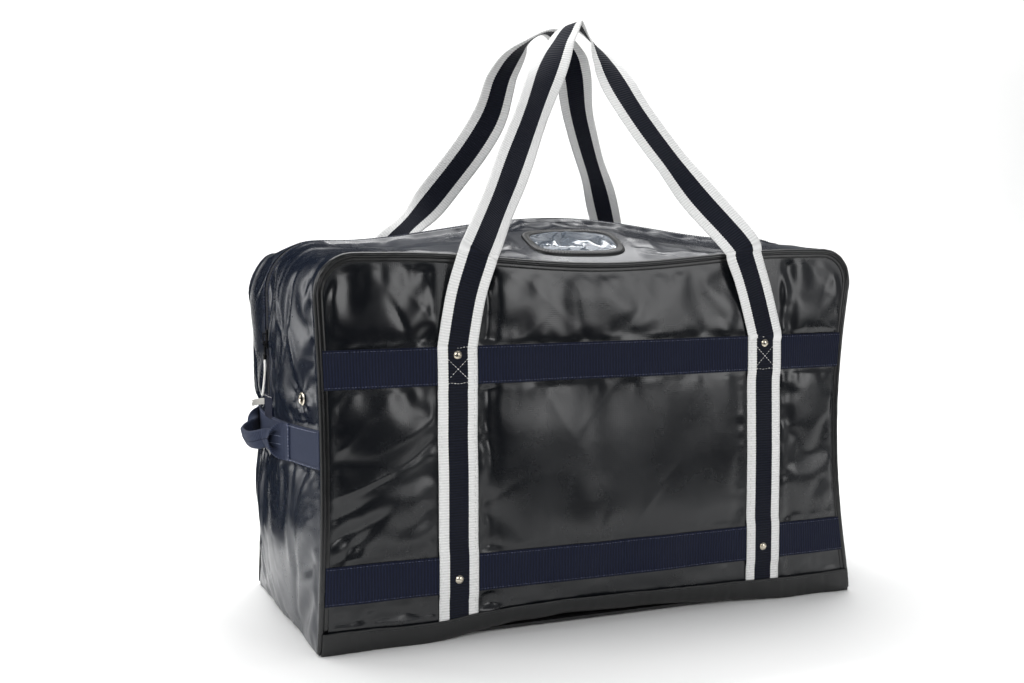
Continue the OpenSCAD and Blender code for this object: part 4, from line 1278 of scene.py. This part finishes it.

# %% [markdown]
# ## Grab handles
# On each end a length of navy webbing is sewn right across. A second length stands off it
# in the middle: its two edges are folded over to meet and stitched, which makes a round,
# narrow grip. The folded webbing opens out flat again towards the seams. Front and rear
# halves are separate pieces.

# %% Grab handles
grab_r, grab_reach, grab_bow, grab_droop = 0.016, 0.046, 0.016, math.radians(20)
grab_core, fold_turn = 0.0009, math.radians(172)
grip_rows = []  # stitches along each grip, set further down
for side, name in both_ends:
    y = np.linspace(-half_d + 0.003, half_d - 0.003, 540)
    c = np.linspace(-1, 1, 11)
    gy, gc = np.meshgrid(y, c, indexing="ij")
    u = u_end(grab_z + gc * band_w / 2, side)
    edge = 1 - 0.6 * np.abs(gc) ** 8
    rib = 0.0002 * np.cos(2 * np.pi * gy / grab_rib)
    outer = strip_surface(u, gy, band_mid + (web_core + rib) * edge)
    inner = strip_surface(u, gy, band_mid - web_core * edge)
    end_band = two_sided(f"{name}_end_webbing", outer, inner, grab_weave,
                         uv=np.stack([gy, gc * band_w / 2], -1))
    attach(end_band, "bag")
    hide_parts(f"{name}_grab_band")

    for half, half_name in ((-1, "front"), (1, "rear")):
        # The line: flat on the bag, out to the grip, and a shallow bow along it.
        foot_u = np.array(u_end(grab_z, side))
        root = strip_plain(foot_u, np.array(half * 0.104), 0.0048)
        near_root = strip_plain(foot_u, np.array(half * 0.092), 0.0052)
        tip = np.array([side * (end_x + grab_r), half * (grab_reach + 0.002), grab_z])
        way = 0.5 * near_root + 0.5 * tip + np.array([-side * 0.0015, 0, 0])
        stem = curve([root, near_root, way, tip], 14)
        arc_y = np.linspace(grab_reach - 0.001, 0, 26)
        bow = grab_bow * (1 - (arc_y / grab_reach) ** 4)
        arc = np.stack([side * (end_x + grab_r + bow * math.cos(grab_droop)), half * arc_y,
                        grab_z - bow * math.sin(grab_droop)], -1)
        line = evenly(np.concatenate([stem, arc]), 0.0014)
        folded = smooth((np.abs(line[:, 1]) - 0.094) / (0.052 - 0.094))
        droop = grab_droop * smooth((0.056 - np.abs(line[:, 1])) / 0.012)
        heading = headings(line)
        heading[-1] = [0, -half, 0]
        upright = np.stack([side * np.sin(droop), 0 * droop, np.cos(droop)], -1)
        face = unit(np.cross(heading, upright))
        face *= np.sign(face[:, :1] * side)
        upright = unit(np.cross(heading, face))
        upright *= np.sign(upright[:, 2:3])
        # Across the webbing, the outer quarters turn over on to the middle as it folds.
        q = np.linspace(-1, 1, 29)
        high = np.clip(np.abs(q), 0, 0.5) * band_w / 2
        rest = np.clip(np.abs(q) - 0.5, 0, 1) * band_w / 2
        turn = fold_turn * folded
        wide = (high[None] + rest[None] * np.cos(turn)[:, None]) * np.sign(q)[None]
        stacked = 0.0030 * (1 - np.cos(turn))[:, None] / 2 * smooth((np.abs(q) - 0.46) / 0.12)[None]
        deep = rest[None] * np.sin(turn)[:, None] * 0.9 + stacked
        middle = line[:, None] + upright[:, None] * wide[..., None] + face[:, None] * deep[..., None]
        facing = grid_normals(middle)
        facing *= np.sign(facing[0, 14, 0]) * side
        run = lengths(line)
        ribs = 0.00012 * np.cos(2 * np.pi * run / grab_rib)[:, None, None]
        grip = two_sided(f"{name}_grab_webbing_{half_name}", middle + facing * (grab_core + ribs),
                         middle - facing * grab_core, grab_weave,
                         uv=np.stack(np.broadcast_arrays(run[:, None], q[None] * band_w / 2), -1))
        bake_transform(grip)
        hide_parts(f"{name}_grab_anchors", f"{name}_grab_handle")
        seam_k = np.abs(line[:, 1]) < 0.080
        for q_at in (11, 17):
            grip_rows.append((f"{name}_grab_stitches_{half_name}_{q_at}",
                              (middle + facing * 0.0011)[seam_k, q_at],
                              facing[seam_k, q_at], f"{name}_grab", half))
    print(name, "grab handle is on")

# %% [markdown]
# ## Zip patches and the blank tag
# A short piece of webbing covers the lower end of the zip. A small blank satin tag is
# caught in its seam and sticks out, with a frayed edge.

# %% Patches and tag
patch_half = 0.025
for side, name in both_ends:
    z = np.linspace(grab_z + band_w / 2 - 0.004, zip_low_z - 0.0005, 12)
    y = np.linspace(-patch_half, patch_half, 130)
    gy, gz = np.meshgrid(y, z, indexing="ij")
    u = u_end(gz, side)
    edge = 1 - 0.5 * (np.abs(gy) / patch_half) ** 10
    rib = 0.0002 * np.cos(2 * np.pi * gy / grab_rib)
    outer = strip_surface(u, gy, band_mid + (web_core + rib) * edge + 0.0004)
    inner = strip_surface(u, gy, band_mid - 0.0006 * edge)
    patch = two_sided(f"{name}_zip_patch_webbing", outer, inner, band_weave,
                      uv=np.stack([gy, gz - grab_z], -1))
    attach(patch, "bag")
    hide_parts(f"{name}_zip_patch")

tag_low, tag_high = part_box("side_tag")
tag_k, tag_c = np.meshgrid(np.linspace(0, 1, 30), np.linspace(-1, 1, 13), indexing="ij")
fray = 0.0016 * mottle(tag_c, 0 * tag_c, 0.12, 81) * smooth((tag_k - 0.6) / 0.4)
tag_x = tag_high.x - (tag_high.x - tag_low.x - 0.002) * tag_k - fray
tag_bend = 0.0022 * np.sin(2.4 * tag_k) + 0.0008 * tag_c * tag_k
tag_y = (tag_low.y + tag_high.y) / 2 + tag_bend
tag_z = (tag_low.z + tag_high.z) / 2 + 0.0043 * tag_c - 0.0022 * tag_k ** 2
tag_points = np.stack([tag_x, tag_y, tag_z], -1)
tag = two_sided("blank_satin_tag", tag_points, tag_points + np.array([0, 0.0005, 0]), tag_weave,
                uv=np.stack([tag_k * 0.019, tag_c * 0.0045], -1))
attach(tag, "bag")
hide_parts("side_tag")
print("patches and tag")

# %% [markdown]
# ## Zip tapes
# The zip's woven tapes run up both ends and over the top, under the hems of the cloth.
# They are cut at the same places as the cloth.

# %% Zip tapes
end_zip_u = np.linspace(u_end(zip_low_z - 0.004), 1, 30)
flap_zip_u = np.concatenate([corner_u[:-1], half_top_u])
zip_parts = []  # name, places along the seam, sides, bodies, bend, and the nodes it stands for
for (end, where), bend in zip(both_ends, (bend_left, bend_right)):
    end_u_here, flap_u_here = (end_zip_u, flap_zip_u) if end < 0 else (5 - end_zip_u, 5 - flap_zip_u)
    zip_parts.append((f"{where}_end", end_u_here, (-1, 1), ["bag"], None, [f"{where}_zip_tapes"],
                      [f"{where}_zip_coils"]))
    for s, half_name in both_faces:
        zip_parts.append((f"{half_name}_{where}", flap_u_here, (s,), ["bag", f"{half_name}_flap"], bend,
                          [f"{half_name}_flap_tape"], [f"{half_name}_flap_coil"]))

for part, us, sides, bodies, span, tape_nodes, coil_nodes in zip_parts:
    for s in sides:
        tape_y = s * np.linspace(0.0003, 0.0138, 9)
        gu, gy = np.meshgrid(us, tape_y, indexing="ij")
        outer = strip_surface(gu, gy, 0.0011)
        inner = strip_surface(gu, gy, 0.0004)
        suffix = "" if len(sides) == 1 else ("_front" if s < 0 else "_rear")
        tape = two_sided(f"{part}_zip_tape{suffix}", outer, inner, tape_weave,
                         uv=np.stack([strip_along(gu), gy], -1))
        join_bodies(tape, bodies)
        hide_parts(*tape_nodes)
print("zip tapes:", len(zip_parts))

# %% [markdown]
# ## Rows of small parts with Geometry Nodes
# Zip teeth and stitches are the same small shape set again and again along a line. A node
# tree does that best: it turns each line into a curve, cuts it at an even spacing and sets
# one part at every point, turned along the line and away from the cloth. The spacing and
# the part's sizes are inputs. The parts are made real at the end and become a plain mesh.

# %% The tree that sets parts along lines
def row_tree(name, shape_kind, shape_settings):
    """A tree that sets one small shape along every line of a mesh, turned by its 'away' attribute."""
    tree = bpy.data.node_groups.new(name, "GeometryNodeTree")
    face = tree.interface
    face.new_socket(name="Lines", in_out="INPUT", socket_type="NodeSocketGeometry")
    for label in ("Spacing", "Long", "Wide", "Thick"):
        face.new_socket(name=label, in_out="INPUT", socket_type="NodeSocketFloat")
    face.new_socket(name="Finish", in_out="INPUT", socket_type="NodeSocketMaterial")
    face.new_socket(name="Parts", in_out="OUTPUT", socket_type="NodeSocketGeometry")
    entry = add(tree, "NodeGroupInput")
    lines = add(tree, "GeometryNodeMeshToCurve", None, {0: (entry, "Lines")})
    cut = add(tree, "GeometryNodeResampleCurve", {"mode": "LENGTH"},
              {"Curve": (lines, 0), "Length": (entry, "Spacing")})
    away = add(tree, "GeometryNodeInputNamedAttribute", {"data_type": "FLOAT_VECTOR", "Name": "away"})
    along = add(tree, "GeometryNodeInputTangent")
    stand = add(tree, "FunctionNodeAlignRotationToVector", {"axis": "Z"}, {"Vector": (away, 0)})
    aim = add(tree, "FunctionNodeAlignRotationToVector", {"axis": "X", "pivot_axis": "Z"},
              {"Rotation": (stand, 0), "Vector": (along, 0)})
    shape = add(tree, shape_kind, shape_settings)
    size = add(tree, "ShaderNodeCombineXYZ", None,
               {0: (entry, "Long"), 1: (entry, "Wide"), 2: (entry, "Thick")})
    sized = add(tree, "GeometryNodeTransform", None, {"Geometry": (shape, 0), "Scale": (size, 0)})
    rounded = add(tree, "GeometryNodeSetShadeSmooth", None, {0: (sized, 0)})
    placed = add(tree, "GeometryNodeInstanceOnPoints", None,
                 {"Points": (cut, 0), "Instance": (rounded, 0), "Rotation": (aim, 0)})
    real = add(tree, "GeometryNodeRealizeInstances", None, {0: (placed, 0)})
    finish = add(tree, "GeometryNodeSetMaterial", None,
                 {"Geometry": (real, 0), "Material": (entry, "Finish")})
    leave = add(tree, "NodeGroupOutput")
    tree.links.new(finish.outputs[0], leave.inputs[0])
    return tree


# A stitch is a little barrel; a zip tooth is a short bar with rounded flanks.
stitch_tree = row_tree("rows_of_stitches", "GeometryNodeMeshUVSphere",
                       {"Segments": 6, "Rings": 4, "Radius": 1.0})
tooth_tree = row_tree("rows_of_teeth", "GeometryNodeMeshUVSphere",
                      {"Segments": 8, "Rings": 5, "Radius": 1.0})
stitch = (0.0042, 0.0017, 0.00042, 0.00034)  # spacing, then half the length, width and thickness
tooth = (0.0020, 0.00088, 0.0019, 0.0010)


def set_rows(name, tree, rows, spacing, long, wide, thick, finish):
    """Parts set along rows, each a pair (points, directions away from the cloth), as one plain mesh."""
    points, away, edges, start = [], [], [], 0
    for line, up in rows:
        points.append(line)
        away.append(np.broadcast_to(up, line.shape))
        edges += [(start + i, start + i + 1) for i in range(len(line) - 1)]
        start += len(line)
    points, away = np.concatenate(points), np.concatenate(away)
    guide = bpy.data.meshes.new(name + "_guide")
    guide.from_pydata(points.tolist(), edges, [])
    layer = guide.attributes.new("away", "FLOAT_VECTOR", "POINT")
    layer.data.foreach_set("vector", away.astype(np.float32).ravel())
    guide_piece = bpy.data.objects.new(name + "_guide", guide)
    scene.collection.objects.link(guide_piece)
    modifier = guide_piece.modifiers.new("rows", "NODES")
    modifier.node_group = tree
    values = {"Spacing": spacing, "Long": long, "Wide": wide, "Thick": thick, "Finish": finish}
    for item in tree.interface.items_tree:
        if item.in_out == "INPUT" and item.name in values:
            modifier[item.identifier] = values[item.name]
    depsgraph = bpy.context.evaluated_depsgraph_get()
    mesh = bpy.data.meshes.new_from_object(guide_piece.evaluated_get(depsgraph))
    bpy.data.objects.remove(guide_piece)
    mesh.name = name
    piece = bpy.data.objects.new(name, mesh)
    scene.collection.objects.link(piece)
    print(name, len(mesh.polygons), "faces")
    return piece


# %% [markdown]
# ## Zip teeth
# A nylon coil looks like two rows of short rounded bars that mesh in the middle. The real
# pitch is about a millimetre and a half, drawn here at two so that it shows.

# %% Zip teeth
for part, us, sides, bodies, span, tape_nodes, coil_nodes in zip_parts:
    rows = []
    fine_u = np.linspace(us[0], us[-1], 400)
    for s in sides:
        first = 0 if s < 0 else 1  # the rear row starts later, so that the two rows mesh
        line = strip_surface(fine_u, 0 * fine_u + s * 0.0019, 0.0013 + 0 * fine_u)
        upper = strip_surface(fine_u, 0 * fine_u + s * 0.0019, 0.0113 + 0 * fine_u)
        rows.append((line[first:], unit(upper - line)[first:]))
    teeth = set_rows(f"{part}_zip_teeth", tooth_tree, rows, *tooth, nylon)
    join_bodies(teeth, bodies)
    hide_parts(*coil_nodes)

# %% [markdown]
# ## Stitching
# Every sewn edge gets its row of stitches, about four millimetres apart and half sunk in
# the cloth. Bands and hems are sewn with navy thread, the base strips with black, the grab
# webbing with a faded blue and the handles with white, in a box with a cross where each
# strap meets the upper band.

# %% Stitching
band_row, edge_row, hem_row = 0.0222, 0.0225, 0.0165  # rows from the middle of bands, straps and zip
over_band, over_strap, over_cloth = band_mid + 0.0009, web_t / 2 + 0.0001, cloth_t + 0.0012


def front_row(x, z, t, side):
    """A row of stitches on the front or rear."""
    return front_surface(x, z, t + 0 * x, side), np.array([0.0, side, 0.0])


def strip_row(u, y, t):
    """A row of stitches along the zip."""
    _, _, nx, nz = seam(u)
    return strip_surface(u, y, t + 0 * u), np.stack([nx, 0 * nx, nz], -1)


def end_row(z, y, t, end):
    """A row of stitches on the left end (-1) or the right one (1)."""
    return strip_surface(u_end(z, end), y, t + 0 * y), np.array([float(end), 0, 0])


def clear_of_straps(count):
    """The three stretches of x that no strap covers, each with count places."""
    cuts = [-half_l + 0.006, strap_left_x - 0.028, strap_left_x + 0.028, strap_right_x - 0.028,
            strap_right_x + 0.028, half_l - 0.006]
    return [np.linspace(cuts[i], cuts[i + 1], count) for i in (0, 2, 4)]


navy_rows, black_rows, white_rows, denim_rows = [], [], [], []
for side in (-1, 1):
    for middle in (upper_band_z, lower_band_z):
        for edge in (-band_row, band_row):
            for x in clear_of_straps(90):
                navy_rows.append(front_row(x, 0 * x + middle + edge, over_band, side))
    x = np.linspace(-half_l + 0.005, half_l - 0.005, 240)
    black_rows.append(front_row(x, strip_hem(x) - 0.004, 0.0064, side))
    for sx in strap_places:  # the box with its cross
        half_box = 0.0128
        top, bottom = upper_band_z + 0.0235, upper_band_z - 0.0225
        high = strap_mid + over_strap
        for z in (top, bottom):
            x = np.linspace(sx - half_box, sx + half_box, 12)
            white_rows.append(front_row(x, 0 * x + z + 0.0006 * np.sin(x * 300), high, side))
        for a in (-1, 1):
            x = np.linspace(sx - half_box * a, sx + half_box * a, 24)
            z = np.linspace(bottom + 0.006, upper_band_z + 0.008, 24)
            white_rows.append(front_row(x, z, high, side))
    for sx in strap_places:  # along both edges of the strap
        for a in (-1, 1):
            z = np.linspace(0.037, handle_z - 0.004, 120)
            line = front_surface(sx + a * edge_row + 0 * z, z, 0.0, side)
            line[:, 1] += side * (strap_height(z) + over_strap)
            white_rows.append((line, np.array([0.0, side, 0.0])))
for end in (-1, 1):
    for edge in (-band_row, band_row):
        y = np.linspace(-half_d + 0.006, half_d - 0.006, 120)
        navy_rows.append(end_row(grab_z + edge + 0 * y, y, over_band, end))
    for half in (-1, 1):
        for edge in (-edge_row, edge_row):
            y = half * np.linspace(0.100, half_d - 0.006, 60)
            denim_rows.append(end_row(grab_z + edge + 0 * y, y, band_mid + 0.0036, end))
        z = np.linspace(grab_z - 0.0215, grab_z + 0.0215, 30)
        denim_rows.append(end_row(z, half * (0.1045 + 0 * z), band_mid + 0.0036, end))
    y = np.linspace(-0.0235, 0.0235, 40)
    white_rows.append(end_row(zip_low_z - 0.0025 + 0.0004 * np.sin(y * 260), y, band_mid + 0.0013, end))
    for y0 in (-hem_row, hem_row):
        z = np.linspace(zip_low_z + 0.002, 0.4515, 60)
        navy_rows.append(strip_row(u_end(z, end), 0 * z + y0, over_cloth))
for rows, thread, name in ((navy_rows, navy_thread, "navy"), (black_rows, black_thread, "black"),
                           (white_rows, white_thread, "white"), (denim_rows, denim_thread, "denim")):
    stitches = set_rows(f"bag_{name}_stitches", stitch_tree, rows, *stitch, thread)
    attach(stitches, "bag")
for label, line, up, body, half in grip_rows:
    stitches = set_rows(label, stitch_tree, [(line, up)], *stitch, denim_thread)
    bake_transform(stitches)
for part, us, sides, bodies, span, tape_nodes, coil_nodes in zip_parts:
    if len(bodies) == 2:
        fine_u = np.linspace(us[0], us[-1], 160)
        row = strip_row(fine_u, 0 * fine_u + sides[0] * hem_row, over_cloth)
        stitches = set_rows(f"{part}_zip_stitches", stitch_tree, [row], *stitch, navy_thread)
        join_bodies(stitches, bodies)

# %% [markdown]
# ## Window for a name card
# A clear soft window is sewn on the front flap, bound all round with a ribbed vinyl tape.
# The outline is a rounded oblong, made by one power curve. The film is rippled, which
# breaks up what it mirrors.

# %% Name card window
binding_w, ribs_round = 0.0105, 108


def window_edge(angle, grow):
    """A rounded oblong round the window, grow outside its edge."""
    c, s = np.cos(angle), np.sin(angle)
    k = (np.abs(c) ** 4 + np.abs(s) ** 4) ** -0.25
    return window_x + (window_w / 2 + grow) * c * k, window_y + (window_d / 2 + grow) * s * k


angle = np.linspace(0, 2 * np.pi, 433)[:-1]
cross = np.linspace(0, 1, 13)
ga, gc = np.meshgrid(angle, cross, indexing="ij")
bound_x, bound_y = window_edge(ga, 0.001 - binding_w + binding_w * gc)
rib = 1 + 0.16 * np.cos(ga * ribs_round)
dome = 0.0034 * np.sqrt(np.clip(1 - (2 * gc - 1) ** 2, 0, 1)) * rib
frame_outer = strip_surface(u_top(bound_x), bound_y, cloth_t + 0.0006 + dome)
frame_inner = strip_surface(u_top(bound_x), bound_y, cloth_t + 0.0002 + 0 * dome)
window_frame = two_sided("window_ribbed_binding", frame_outer, frame_inner, binding_vinyl,
                         uv=np.stack([ga * 0.05, gc * binding_w], -1), wrap=True)
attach(window_frame, "front_flap")
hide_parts("id_window_frame")

ga, gb = np.meshgrid(np.linspace(-1, 1, 91), np.linspace(-1, 1, 61), indexing="ij")
k = np.maximum(np.abs(ga), np.abs(gb)) / np.maximum((ga ** 4 + gb ** 4) ** 0.25, 1e-9)
film_x = window_x + (window_w / 2 - 0.006) * ga * k
film_y = window_y + (window_d / 2 - 0.006) * gb * k
inside = np.clip(1 - np.maximum(np.abs(ga), np.abs(gb)), 0, 1)
ripple = 0.0012 * mottle(film_x, film_y, 0.022, 91) + 0.0009 * creases(
    film_x, film_y, 14, (-0.09, 0.04, -0.17, -0.11), (-0.6, 1.8), (0.02, 0.05), 0.005, 1.0, 92)
film_high = cloth_t + 0.0014 + 0.0018 * smooth(inside / 0.3) + ripple * smooth(inside / 0.2)
film_high = np.maximum(film_high, cloth_t + 0.0010)
film = two_sided("window_clear_film", strip_surface(u_top(film_x), film_y, film_high),
                 strip_surface(u_top(film_x), film_y, film_high - 0.0005), vinyl,
                 uv=np.stack([film_x, film_y], -1))
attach(film, "front_flap")
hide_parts("id_window_vinyl")
print("window on the front flap")

# %% [markdown]
# ## Hardware that keeps its solid shape
# The rivets, the eyelets, the sliders with their tabs, the zip's stops and the stiffening
# board are hard parts. Their solid models are already right, so they stay and get their
# real finish.

# %% Hardware
for name, finish in (("strap_rivets", nickel), ("vent_eyelets", nickel), ("zip_end_stops", nickel),
                     ("left_slider", enamel), ("right_slider", enamel), ("left_pull_tab", enamel),
                     ("right_pull_tab", enamel), ("base_board", board_plastic)):
    part = nodes[name]
    part.data.materials.clear()
    part.data.materials.append(finish)
print("kept:", ", ".join(n for n, o in nodes.items() if not o.hide_render))
